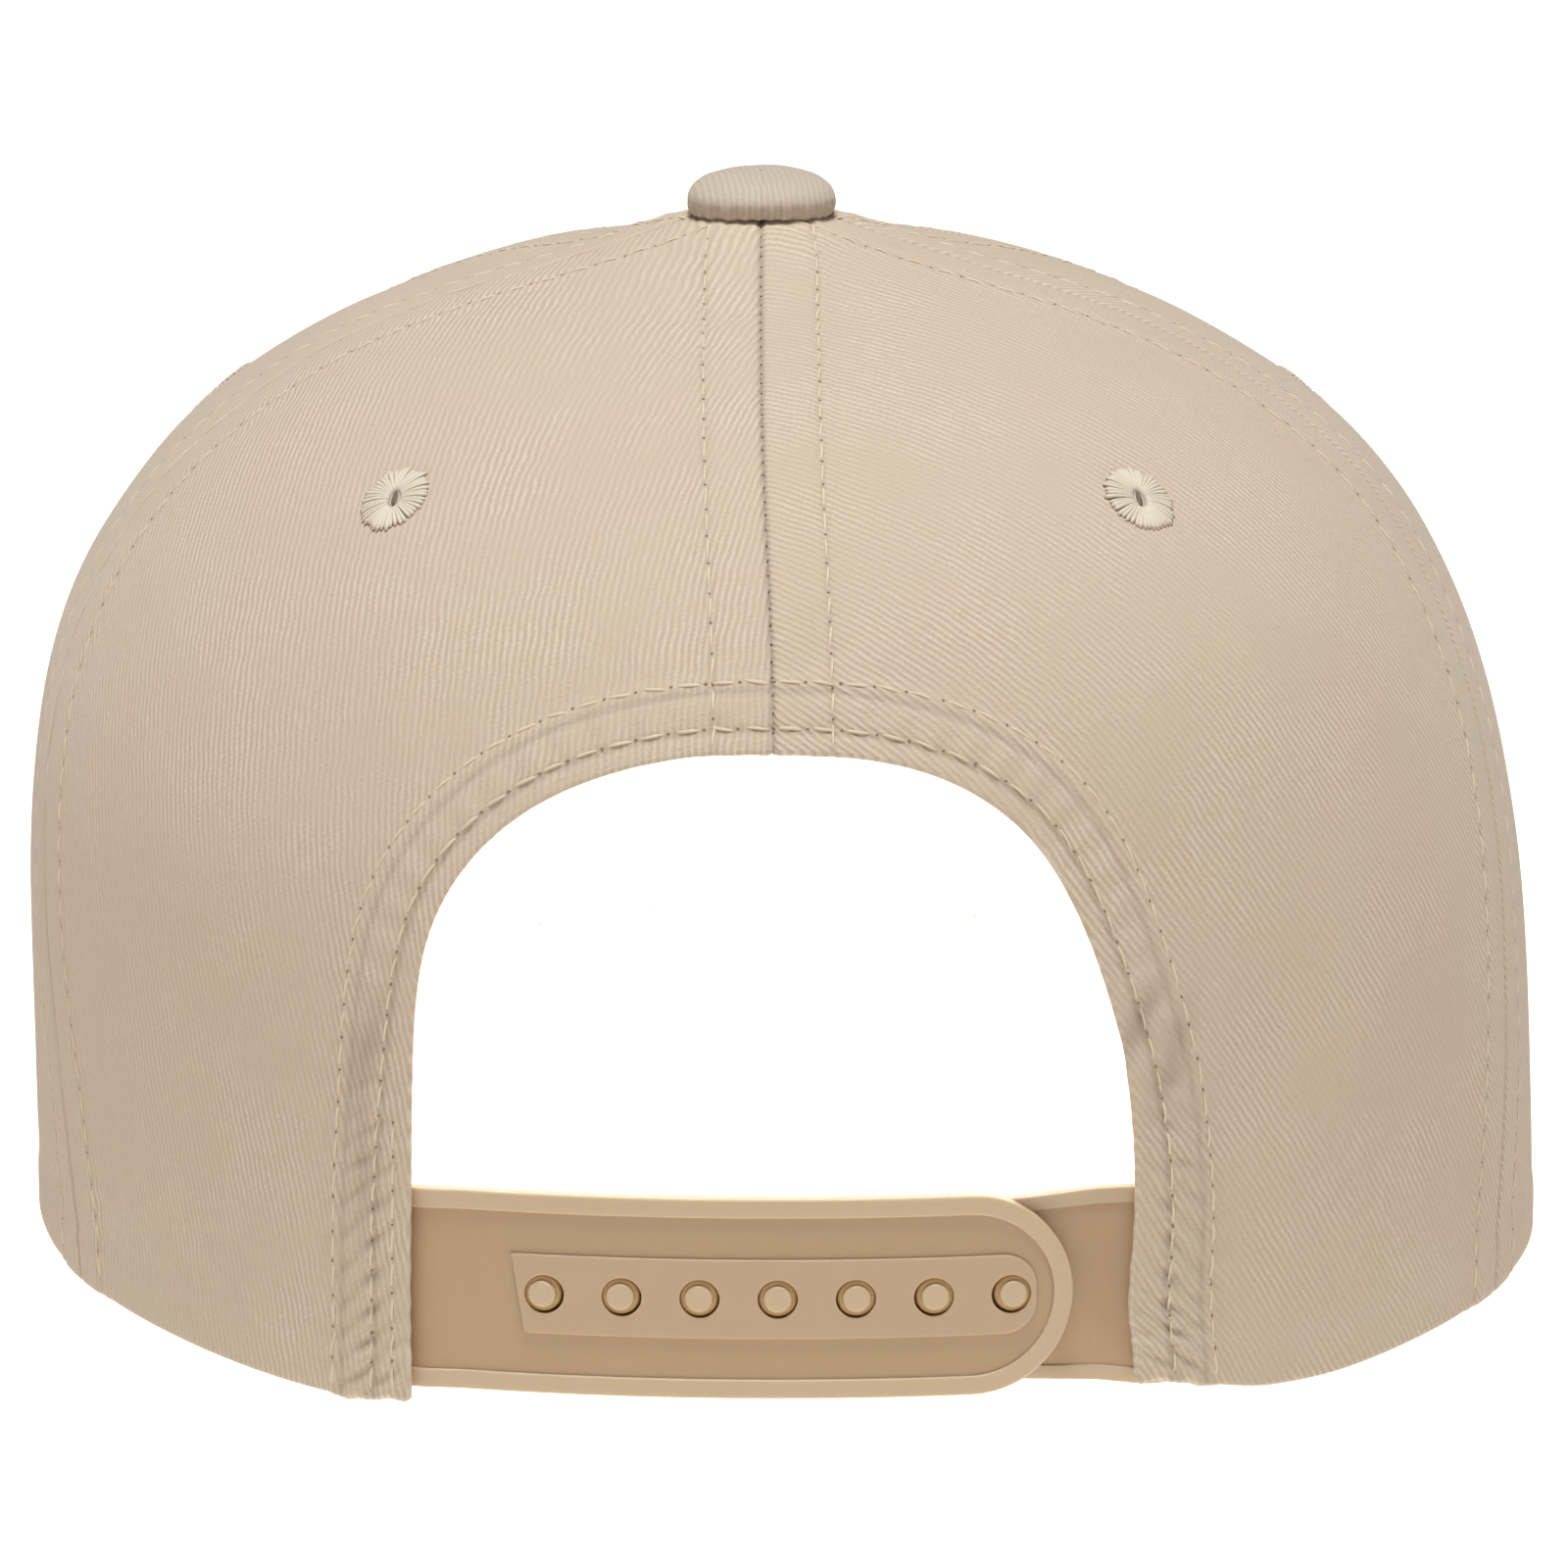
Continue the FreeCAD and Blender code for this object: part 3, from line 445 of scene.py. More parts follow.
class Graph:
    """A material's node tree, with a short way to add and join nodes."""

    def __init__(self, name):
        self.material = bpy.data.materials.new(name)
        self.material.use_nodes = True
        self.tree = self.material.node_tree
        self.tree.nodes.clear()
        self.output = self.add("ShaderNodeOutputMaterial")
        self.shader = self.add("ShaderNodeBsdfPrincipled")
        self.join(self.shader, "BSDF", self.output, "Surface")

    def add(self, kind, **settings):
        node = self.tree.nodes.new(kind)
        for key, value in settings.items():
            setattr(node, key, value)
        return node

    def join(self, source, output, target, socket):
        self.tree.links.new(source.outputs[output], target.inputs[socket])

    def math(self, operation, first, second=None, third=None):
        """A Math node; each value is a number or a (node, output) pair."""
        node = self.add("ShaderNodeMath", operation=operation)
        for number, value in enumerate((first, second, third)):
            if value is None:
                continue
            if isinstance(value, tuple):
                self.tree.links.new(value[0].outputs[value[1]], node.inputs[number])
            else:
                node.inputs[number].default_value = value
        return node, 0

    def noise(self, scale, detail=2.0):
        """Smooth noise from 0 to 1 in the object's own space."""
        node = self.add("ShaderNodeTexNoise")
        node.inputs["Scale"].default_value = scale
        node.inputs["Detail"].default_value = detail
        self.join(self.add("ShaderNodeTexCoord"), "Object", node, "Vector")
        return node, "Fac"

    def mix(self, share, first, second, blend="MIX"):
        """A colour Mix node; share is a number or pair, the colours are RGB or (node, output) pairs."""
        node = self.add("ShaderNodeMix", data_type="RGBA", blend_type=blend)
        for socket, value in ((0, share), (6, first), (7, second)):
            if isinstance(value, tuple) and len(value) == 2:
                self.tree.links.new(value[0].outputs[value[1]], node.inputs[socket])
            elif isinstance(value, tuple):
                node.inputs[socket].default_value = (*value, 1.0)
            else:
                node.inputs[socket].default_value = value
        return node, 2

    def spread(self, source, low, high, to_low, to_high):
        """Stretch a value from one range to another."""
        node = self.add("ShaderNodeMapRange")
        self.tree.links.new(source[0].outputs[source[1]], node.inputs["Value"])
        ends = {"From Min": low, "From Max": high, "To Min": to_low, "To Max": to_high}
        for socket, value in ends.items():
            node.inputs[socket].default_value = value
        return node, "Result"

    def bump(self, height, distance):
        node = self.add("ShaderNodeBump")
        node.inputs["Distance"].default_value = distance
        node.inputs["Strength"].default_value = 1.0
        self.tree.links.new(height[0].outputs[height[1]], node.inputs["Height"])
        self.join(node, "Normal", self.shader, "Normal")

    def set(self, **values):
        for socket, value in values.items():
            self.shader.inputs[socket.replace("_", " ")].default_value = value

    def colour(self, source):
        self.tree.links.new(source[0].outputs[source[1]], self.shader.inputs["Base Color"])


def linear(red, green, blue):
    """sRGB from 0 to 255 as a linear colour."""
    def one(value):
        value = value / 255
        return value / 12.92 if value <= 0.04045 else ((value + 0.055) / 1.055) ** 2.4
    return one(red), one(green), one(blue)


def twill(name, rib, valley, tint_a, tint_b, turn=33.0, pitch=0.84 * MM, depth=0.10 * MM, mottle=0.5):
    """Left-hand cotton twill: diagonal ribs, floats along them, fibre fuzz and soft uneven dyeing."""
    g = Graph(name)
    uv = g.add("ShaderNodeUVMap", uv_map="cloth")
    across = math.radians(turn)
    sway = g.math("MULTIPLY", g.noise(240.0, 4.0), 1.1)
    dot = g.add("ShaderNodeVectorMath", operation="DOT_PRODUCT")
    g.join(uv, "UV", dot, 0)
    dot.inputs[1].default_value = (math.cos(across) / pitch, -math.sin(across) / pitch, 0)
    phase = g.math("ADD", (dot, "Value"), sway)
    wave = g.math("SINE", g.math("MULTIPLY", phase, TWO_PI))
    ribs = g.math("MULTIPLY_ADD", wave, 0.5, 0.5)
    step = 0.9 * pitch
    run = g.add("ShaderNodeVectorMath", operation="DOT_PRODUCT")
    g.join(uv, "UV", run, 0)
    run.inputs[1].default_value = (math.sin(across) / step, math.cos(across) / step, 0)
    shift = g.math("MULTIPLY_ADD", g.math("FLOOR", phase), 0.37, (run, "Value"))
    floats = g.math("MULTIPLY_ADD", g.math("SINE", g.math("MULTIPLY", shift, TWO_PI)), 0.5, 0.5)
    fuzz = g.noise(3600.0, 4.0)
    uneven = g.noise(900.0, 2.0)
    weave = g.math("MULTIPLY", ribs, g.math("MULTIPLY_ADD", uneven, 1.2, 0.3))
    weave = g.math("MULTIPLY_ADD", floats, 0.12, weave)
    weave = g.math("MULTIPLY_ADD", fuzz, 0.8, weave)
    strength = g.spread(g.noise(75.0, 3.0), 0.36, 0.62, 0.12, 0.95)
    tone = g.math("MULTIPLY", g.math("MULTIPLY_ADD", weave, 0.72, -0.31), strength)
    tone = g.math("ADD", tone, g.math("MULTIPLY_ADD", strength, -0.28, 0.5))
    cloth = g.mix(tone, valley, rib)
    tint = g.mix(g.spread(g.noise(28.0, 2.0), 0.35, 0.65, 0.0, 1.0), tint_a, tint_b)
    cloth = g.mix(mottle, cloth, g.mix(1.0, cloth, tint, "MULTIPLY"))
    # The shade attribute paints shade into seam lines, rows of stitching, pucker troughs and creases.
    dark = g.add("ShaderNodeAttribute", attribute_name="shade")
    g.colour(g.mix((dark, "Fac"), cloth, tuple(0.42 * c for c in valley)))
    g.bump(weave, depth)
    g.set(Roughness=0.9, Sheen_Weight=0.12, Sheen_Roughness=0.5, Specular_IOR_Level=0.2)
    return g.material


def plain(name, base, roughness=0.7, grain=900.0, depth=0.03 * MM, vary=0.08, **values):
    """Plain material with fine grain and a little colour variation."""
    g = Graph(name)
    fine = g.noise(grain, 3.0)
    broad = g.noise(60.0, 2.0)
    tone = g.mix(g.math("MULTIPLY", fine, vary), base, tuple(c * 0.72 for c in base))
    tone = g.mix(g.math("MULTIPLY", broad, vary), tone, tuple(min(c * 1.15, 1.0) for c in base))
    # The shade attribute paints dark shade, here on the eyelets' slits and inner edges.
    dark = g.add("ShaderNodeAttribute", attribute_name="shade")
    g.colour(g.mix((dark, "Fac"), tone, tuple(c * k for c, k in zip(base, (0.14, 0.10, 0.07)))))
    g.bump(fine, depth)
    g.set(Roughness=roughness, **values)
    return g.material


def moulded(name, colour, roughness=0.4):
    """Soft plastic that lets a little light in."""
    return plain(name, colour, roughness, 2200.0, 0.01 * MM, 0.1, Subsurface_Weight=0.3,
                 Subsurface_Scale=0.002, Subsurface_Radius=(1.0, 0.9, 0.75))


WHITE = (1.0, 1.0, 1.0)
BEIGE = twill("beige_twill", linear(220, 204, 188), linear(188, 166, 142),
              (1.0, 0.955, 0.945), (0.965, 1.0, 0.93))
BUTTON_TWILL = twill("button_twill", linear(205, 190, 176), linear(186, 167, 150),
                     (1.0, 0.965, 0.955), (0.965, 1.0, 0.96), turn=0.0, pitch=0.75 * MM, depth=0.06 * MM)
WHITE_TWILL = twill("white_cotton", linear(250, 249, 246), linear(238, 236, 230), WHITE, WHITE, mottle=0.1)
WHITE_TAPE = twill("white_tape", linear(250, 249, 246), linear(236, 234, 228), WHITE, WHITE, turn=0.0,
                   pitch=0.6 * MM, mottle=0.1)
THREAD = plain("beige_thread", linear(222, 205, 180), 0.6, 3000.0, 0.05 * MM, 0.3)
EYELET_THREAD = plain("eyelet_thread", linear(222, 208, 188), 0.55, 3000.0, 0.05 * MM, 0.25,
                      Sheen_Weight=0.2)
# Dark brown dots down the centre back seam: painted shade of the seam's groove.
SEAM_SHADE_DOTS = plain("seam_shade_dots", linear(96, 74, 52), 0.9)
# Dark dots at the needle holes: painted shade of the holes.
HOLE = plain("needle_hole_shade", linear(146, 122, 94), 0.9)
BUCKRAM = plain("white_buckram", linear(250, 250, 248), 0.8, 1500.0, 0.1 * MM, 0.15)
FOAM = plain("sweatband_foam", linear(246, 244, 238), 0.9, 2500.0, 0.15 * MM, 0.15)
BOARD = plain("visor_board", linear(236, 234, 228), 0.6)
METAL = plain("plated_metal", (0.55, 0.54, 0.52), 0.3, 500.0, 0.005 * MM, 0.1, Metallic=1.0)
STRAP = moulded("strap_plastic", linear(187, 157, 122), 0.42)
# Copies of the strap plastic painted lighter, as lit, for the raised border, edge bars, pegs and boss strip.
STRAP_RAISED_PAINTED_LIT = moulded("strap_plastic_raised_painted_lit", linear(205, 179, 146))
STRAP_BOSS_PAINTED_LIT = moulded("strap_plastic_boss_painted_lit", linear(196, 166, 134))
# Feet of the pegs, seen in the gap round each peg: a warmer, lighter tone that paints light coming through
# the plastic into that shaded gap.
STRAP_GAP_PAINTED_LIGHT = moulded("strap_plastic_gap_painted_light", linear(205, 165, 108), 0.5)


# ---- stitches ----------------------------------------------------------------------------------------

def even_line(points, normals, count):
    """The same line with evenly spaced points, the normals there, and its length."""
    run = run_along(points)
    even = np.linspace(0, run[-1], count)
    return read_off(even, run, points), read_off(even, run, normals), run[-1]


def tubes(centres, normals, radii, sides=6, flat=0.8):
    """Many closed tubes at once: centres and normals are (tube, ring, 3), radii is (tube, ring)."""
    tangent = unit(np.gradient(centres, axis=1))
    binormal = unit(np.cross(tangent, normals))
    upright = unit(np.cross(binormal, tangent))
    turn = np.linspace(0, TWO_PI, sides, endpoint=False)
    ring = (np.cos(turn)[None, None, :, None] * binormal[:, :, None, :]
            + flat * np.sin(turn)[None, None, :, None] * upright[:, :, None, :])
    points = centres[:, :, None, :] + ring * radii[:, :, None, None]
    count, rings = centres.shape[:2]
    index = np.arange(count * rings * sides).reshape(count, rings, sides)
    low, high = index[:, :-1], index[:, 1:]
    walls = np.stack([low, np.roll(low, -1, 2), np.roll(high, -1, 2), high], -1).reshape(-1, 4)
    caps = np.concatenate([index[:, 0, ::-1], index[:, -1]])
    return points.reshape(-1, 3), [list(w) for w in walls] + [list(c) for c in caps]


def join_parts(parts):
    points, faces, start = [], [], 0
    for part_points, part_faces in parts:
        points.append(part_points)
        faces.extend([[i + start for i in face] for face in part_faces])
        start += len(part_points)
    return np.concatenate(points), faces


THREAD_RADIUS = 0.19 * MM
HOLE_RADIUS = 0.25 * MM
STITCH_COVER = 0.8
STITCH_RINGS = 7
LINE_POINTS = 2000


def stitch_parts(line, normals, seed, pitch=STITCH_PITCH):
    """Stitches along a line on the cloth, and dark dots of painted shade at the needle holes between them."""
    random = np.random.default_rng(seed)
    fine, fine_normals, length = even_line(line, normals, LINE_POINTS)
    count = max(1, int(length / pitch))
    starts = (np.arange(count) + 0.5 * (1 - STITCH_COVER)) / count
    share = np.linspace(0, 1, STITCH_RINGS)
    jitter = random.normal(0, 0.03, (count, 1)) / count
    places = starts[:, None] + jitter + share[None, :] * STITCH_COVER / count
    index = np.clip(places, 0, 1) * (LINE_POINTS - 1)
    centres = read_off(index, np.arange(LINE_POINTS), fine)
    up = unit(read_off(index, np.arange(LINE_POINTS), fine_normals))
    side = unit(np.cross(np.gradient(centres, axis=1), up))
    skew = random.normal(0.10 * MM, 0.07 * MM, (count, 1)) * (share[None, :] - 0.5) * 2
    shape = np.sin(np.pi * np.clip(share, 0.0, 1.0)) ** 0.6
    lift = (-1.1 + 1.55 * shape)[None, :] * THREAD_RADIUS
    centres = centres + up * lift[..., None] + side * skew[..., None]
    radii = THREAD_RADIUS * (0.45 + 0.55 * shape)[None, :] * random.uniform(0.9, 1.12, (count, 1))
    threads = tubes(centres, up, radii)
    # Dark dots at the needle holes between the stitches: painted shade of the holes.
    end_index = ((places[:, -1] + 0.1 / count) * (LINE_POINTS - 1)).astype(int)
    ends = fine[np.clip(end_index, 0, LINE_POINTS - 1)]
    along = unit(centres[:, -1] - centres[:, -2])
    dots = np.stack([ends - along * HOLE_RADIUS, ends, ends + along * HOLE_RADIUS], 1)
    dot_radii = np.tile(HOLE_RADIUS * np.array([0.35, 0.8, 0.35]), (count, 1))
    holes = tubes(dots, np.stack([up[:, -1]] * 3, 1), dot_radii, flat=0.25)
    return threads, holes


def add_stitches(name, rows, seed, **settings):
    """One piece of thread and one of dark needle-hole dots of painted shade, for several rows, each a (line,
    normals) pair.
    """
    threads, holes = [], []
    for number, (line, normals) in enumerate(rows):
        thread, hole = stitch_parts(line, normals, seed + number, **settings)
        threads.append(thread)
        holes.append(hole)
    new_piece(name, *join_parts(threads), THREAD, slot="eyelet_thread")
    new_piece(name + "_holes", *join_parts(holes), HOLE, slot="eyelet_thread")


def crown_row(panel, azimuth, share, sign):
    """A line on a panel's cloth, with its normals; azimuths are for the +X side."""
    height, _ = panel_relief(panel, azimuth, share)
    point, normal = mirror_sheet(crown_base(azimuth, share), sign)
    height = height + folds(point, sign)
    push = push_direction(panel, azimuth, share, normal)
    return settle(point + push * height[:, None]), normal


ROW_TOP_SHARE = 0.955
RIM_CLEAR_SHARE = 0.008


def seam_rows(seam, low_share):
    """Shares of a seam's topstitching, and the azimuths of its rows before and after the seam."""
    share = np.linspace(low_share, ROW_TOP_SHARE, 600)
    offset = np.degrees(SEAM_ROW / radius_at(share))
    middle = seam_azimuth(seam, share)
    return share, middle - offset, middle + offset


# ---- crown panels ----------------------------------------------------------------------------------

LEFT_GRAIN = -20.0
APEX_SHARE = 0.994
EDGE_ROLL = 0.6 * MM


def straight_panel(panel, columns=110, rows=150):
    """Azimuth and share grids of a panel between two seams."""
    share = APEX_SHARE * np.linspace(0, 1, rows)
    across = clustered(columns)
    low, high = (seam_azimuth(seam, share) for seam in PANEL_SEAMS[panel])
    return low[:, None] + (high - low)[:, None] * across[None, :], np.repeat(share[:, None], columns, 1)


def back_panel(columns=120, rows=170):
    """Azimuth and share grids of a back panel, woven between the arch and the side seam."""
    def disc(azimuth, share):
        around = np.radians(azimuth)
        return np.stack([(1 - share) * np.sin(around), (1 - share) * np.cos(around)], -1)

    s, t = clustered(columns), clustered(rows, 0.35)
    arch_azimuth, arch_share = arch_on_crown(EDGE_ROLL)
    foot, top = arch_azimuth[0], arch_share[-1]
    edge = np.linspace(0, 1, len(arch_share))
    arch = disc(np.interp(t, edge, arch_azimuth), np.interp(t, edge, arch_share))
    side = disc(seam_azimuth("back", t), t)
    rim = disc(foot + (BACK_SEAM[0] - foot) * s, 0 * s)
    centre = disc(0 * s, top + (1 - top) * s)
    s_grid, t_grid = s[None, :, None], t[:, None, None]
    flat = ((1 - s_grid) * arch[:, None] + s_grid * side[:, None]
            + (1 - t_grid) * rim[None] + t_grid * centre[None]
            - (1 - s_grid) * (1 - t_grid) * arch[0] - s_grid * (1 - t_grid) * side[0]
            - (1 - s_grid) * t_grid * arch[-1] - s_grid * t_grid * side[-1])
    share = 1 - np.linalg.norm(flat, axis=-1)
    azimuth = np.degrees(np.arctan2(flat[..., 0], flat[..., 1]))
    azimuth[share > 0.9999] = 45.0
    return azimuth, np.clip(share, 0.0, APEX_SHARE)


def push_direction(panel, azimuth, share, normal):
    """Which way the skins are pushed apart: straight back at the opening's edge, else along the normal."""
    if panel != "back":
        return normal
    distance, _ = arch_distance(azimuth, share)
    near = (1 - smooth(1 * MM, 14 * MM, distance))[..., None]
    return unit(normal * (1 - near) + np.array([0.0, 1.0, 0.0]) * near)


def panel_edges_in(panel, azimuth, share):
    """How far the inner skin lies in: one cloth, more where a hem is doubled or a seam dips."""
    radius = radius_at(share)
    depth = np.full(np.shape(azimuth), CLOTH)
    for seam in PANEL_SEAMS[panel]:
        distance = np.abs(np.radians(azimuth - seam_azimuth(seam, share))) * radius
        depth = depth + 0.5 * MM * bell(distance, 0.0, 1.5 * MM)
    if panel == "back":
        distance, _ = arch_distance(azimuth, share)
        depth = depth + 0.75 * MM * (1 - smooth(9.5 * MM, 11 * MM, distance))
    return depth


def add_panel(panel, side, sign):
    azimuth, share = back_panel() if panel == "back" else straight_panel(panel)
    height, shade = panel_relief(panel, azimuth, share)
    point, normal = mirror_sheet(crown_base(azimuth, share), sign)
    if panel == "back":
        # Painted shade in the creases beside the back opening.
        shade = shade + 0.5 * -creases(point[..., 0], point[..., 2]) / MM
    height = height + folds(point, sign)
    push = push_direction(panel, azimuth, share, normal)
    outer = settle(point + push * height[..., None])
    inner = settle(point - push * panel_edges_in(panel, azimuth, share)[..., None])
    low, high = (seam_azimuth(seam, 0.0) for seam in PANEL_SEAMS[panel])
    uv = cloth_uv(sign * azimuth, share, sign * 0.5 * (low + high), LEFT_GRAIN if sign > 0 else 0.0)
    arrays = [outer, inner, uv, shade]
    if sign > 0:
        arrays = [a[:, ::-1] for a in arrays]
    piece = closed_sheet(f"{panel}_{side}_panel_cloth", *arrays[:3], BEIGE, arrays[3], roll=0.6,
                         nodes=[f"{panel}_{side}_panel"], slot="twill")


def add_seam_topstitching():
    """Rows beside every seam of the crown, and dark dots of painted shade down the centre back seam."""
    share, _, beside = seam_rows("centre_back", ARCH_SHARE[-1] + 0.004)
    rows = [crown_row("back", beside, share, sign) for sign in (1, -1)]
    add_stitches("centre_back_topstitch", rows, 100)
    line, normals = crown_row("back", 0 * share, share, 1)
    # Painted shade: dark dots along the seam line itself.
    dots = stitch_parts(line, normals, 150, pitch=2.2 * MM)[1]
    new_piece("centre_back_seam_thread", *dots, SEAM_SHADE_DOTS, slot="eyelet_thread")
    for seam, before, after in (("back", "back", "side"), ("front", "side", "front")):
        share, low, high = seam_rows(seam, RIM_CLEAR_SHARE)
        for side, sign in SIDES:
            rows = [crown_row(before, low, share, sign), crown_row(after, high, share, sign)]
            add_stitches(f"{seam}_seam_{side}_topstitch", rows, 200 + len(seam) * 10 + sign)
    share, beside, _ = seam_rows("centre_front", RIM_CLEAR_SHARE)
    rows = [crown_row("front", beside, share, sign) for sign in (1, -1)]
    add_stitches("centre_front_topstitch", rows, 300)


def add_arch_topstitching():
    """Two rows round the back opening, and a short third one beside the hole strap."""
    rows = []
    for row in HEM_ROWS:
        azimuth, share = hem_row(row, 600)
        keep = share > 0.002
        for sign in (1, -1):
            rows.append(crown_row("back", azimuth[keep], share[keep], sign))
    azimuth, share = arch_on_crown(2.3 * MM, 600)
    beside_strap = (share > 0.002) & (share < share_at_height(34 * MM))
    rows.append(crown_row("back", azimuth[beside_strap], share[beside_strap], 1))
    add_stitches("back_opening_topstitch", rows, 400)


# ---- inside plies: facing, buckram, seam tapes and sweatband -------------------------------

def crown_strip(name, low_edge, high_edge, shares, depth, thickness, material, columns=40, bulge=None,
                rests_on=(), **placing):
    """Closed ply inside the crown between two edges, each a function of the share."""
    share = np.asarray(shares)[:, None] * np.ones(columns)
    across = clustered(columns, 0.4)[None, :]
    azimuth = low_edge(share) + (high_edge(share) - low_edge(share)) * across
    point, normal = crown_base(azimuth, share)
    lift = np.zeros(share.shape) if bulge is None else bulge(azimuth, share, across)
    outer = settle(point - normal * (depth - lift)[..., None])
    inner = settle(point - normal * (depth + thickness - lift)[..., None])
    u = np.radians(azimuth - 0.5 * (low_edge(share) + high_edge(share))) * radius_at(share)
    uv = np.stack([u, share * PROFILE_LENGTH], -1)
    flip = [a[:, ::-1] for a in (outer, inner, uv)]
    piece = closed_sheet(name, *flip, material, **placing)
    return piece


def inner_row(azimuth, share, depth):
    """Line on the inside of a ply, with normals that point into the cap."""
    point, normal = crown_base(azimuth, share)
    return settle(point - normal * np.asarray(depth)[..., None]), -normal


TAPE_WIDTH, TAPE_DEPTH, TAPE_THICKNESS = 18 * MM, 1.5 * MM, 0.5 * MM
TAPE_TOP_ANGLE = 21.0
TAPE_FOOT = 3.0 * MM
BUCKRAM_DEPTH, BUCKRAM_THICKNESS = 0.9 * MM, 0.5 * MM
FACING_WIDTH, FACING_DEPTH, FACING_THICKNESS = 11 * MM, 1.62 * MM, 0.48 * MM


def tape_half_angle(share):
    return np.minimum(np.degrees(0.5 * TAPE_WIDTH / radius_at(share)), TAPE_TOP_ANGLE)


def add_tape(name, seam, sign, low_share, panels):
    shares = np.linspace(low_share, 0.966, 90)

    def middle(share):
        return sign * seam_azimuth(seam, share)

    def ripple(azimuth, share, across):
        along = share * PROFILE_LENGTH
        ridge = 0.25 * MM * (bell(across, 0.0, 0.10) + bell(across, 1.0, 0.10))
        waves = np.sin(TWO_PI * along / (9 * MM) + 2 * across)
        return -ridge - 0.12 * MM * waves * (1 - bell(across, 0.5, 0.3))

    def low(share):
        return middle(share) - tape_half_angle(share)

    def high(share):
        return middle(share) + tape_half_angle(share)

    crown_strip(name + "_cloth", low, high, shares, TAPE_DEPTH, TAPE_THICKNESS, WHITE_TAPE, 30, ripple,
                panels, nodes=[name], slot="seam_tape")
    rows = []
    share = np.linspace(low_share + 0.004, ROW_TOP_SHARE, 500)
    for side in (-1, 1):
        edge = middle(share) + side * tape_half_angle(share) * 0.8
        rows.append(inner_row(edge, share, np.full(len(share), TAPE_DEPTH + TAPE_THICKNESS + 0.1 * MM)))
    add_stitches(name + "_stitching", rows, 500 + len(name) * 3 + sign)


def add_tapes():
    foot = share_at_height(TAPE_FOOT)
    above_facing = ARCH_SHARE[-1] + (FACING_WIDTH + 0.6 * MM) / PROFILE_LENGTH
    add_tape("centre_front_tape", "centre_front", 1, foot,
             ["front_left_panel_cloth", "front_right_panel_cloth"])
    add_tape("centre_back_tape", "centre_back", 1, above_facing,
             ["back_left_panel_cloth", "back_right_panel_cloth"])
    for side, sign in SIDES:
        for seam in ("back", "front"):
            add_tape(f"side_{seam}_{side}_tape", seam, sign, foot,
                     [f"side_{side}_panel_cloth", f"{seam}_{side}_panel_cloth"])


def add_buckram():
    for side, sign in SIDES:
        shares = np.linspace(0.01, 0.93, 60)

        def low(share):
            return sign * (seam_azimuth("front", share) + 0.05)

        def high(share):
            return sign * (seam_azimuth("centre_front", share) - 0.05)

        edges = (low, high) if sign > 0 else (high, low)
        crown_strip(f"front_{side}_buckram_cloth", *edges, shares, BUCKRAM_DEPTH, BUCKRAM_THICKNESS,
                    BUCKRAM, 50, rests_on=[f"front_{side}_panel_cloth"],
                    nodes=[f"front_{side}_buckram"], slot="buckram")


def add_facing():
    """Strip turned in round the arch of the back opening, stitched down by the hem's rows."""
    count = 220
    offsets = np.linspace(0.9 * MM, FACING_WIDTH, 14)
    outlines = [arch_on_crown(offset) for offset in offsets]
    keep = arch_line()[1] > ARCH_SPRING + 0.5 * MM
    azimuth = np.stack([np.concatenate([-a[keep], a[keep][::-1][1:]]) for a, _ in outlines])
    share = np.stack([np.concatenate([s[keep], s[keep][::-1][1:]]) for _, s in outlines])
    pick = np.linspace(0, azimuth.shape[1] - 1, count).astype(int)
    azimuth, share = azimuth[:, pick], share[:, pick]
    point, normal = crown_base(azimuth, share)
    wave = 0.1 * MM * np.sin(np.arange(count) * 0.9)[None, :] * np.linspace(0, 1, len(offsets))[:, None]
    push = push_direction("back", azimuth, share, normal)
    outer = settle(point - push * (FACING_DEPTH + wave)[..., None])
    inner = settle(point - push * (FACING_DEPTH + FACING_THICKNESS + wave)[..., None])
    run = run_along(point[0])
    uv = np.stack([np.repeat(run[None], len(offsets), 0), np.repeat(offsets[:, None], count, 1)], -1)
    piece = closed_sheet("back_opening_facing_cloth", outer, inner, uv, BEIGE,
                         nodes=["back_opening_facing"], slot="twill")
    rows = []
    for row in HEM_ROWS:
        azimuth, share = hem_row(row, 600)
        keep = share > share_at_height(ARCH_SPRING + 2 * MM)
        depth = np.full(keep.sum(), FACING_DEPTH + FACING_THICKNESS + 0.08 * MM)
        for sign in (1, -1):
            rows.append(inner_row(sign * azimuth[keep], share[keep], depth))
    add_stitches("back_opening_facing_stitching", rows, 620)


BAND_START = 38.5
BAND_TOP = 34 * MM
BAND_RIM_PER_DEGREE = 1.6 * MM
BAND_STITCH_DEPTH = 4.6 * MM
BAND_ROWS = (0.1, 0.93)
BAND_PLIES = {
    "backing": (2.2 * MM, 0.4 * MM, WHITE_TAPE, ["side_left_panel_cloth", "side_right_panel_cloth"]),
    "padding": (2.7 * MM, 1.2 * MM, FOAM, []),
    "face": (4.0 * MM, 0.6 * MM, WHITE_TWILL, ["sweatband_padding_cloth"]),
}


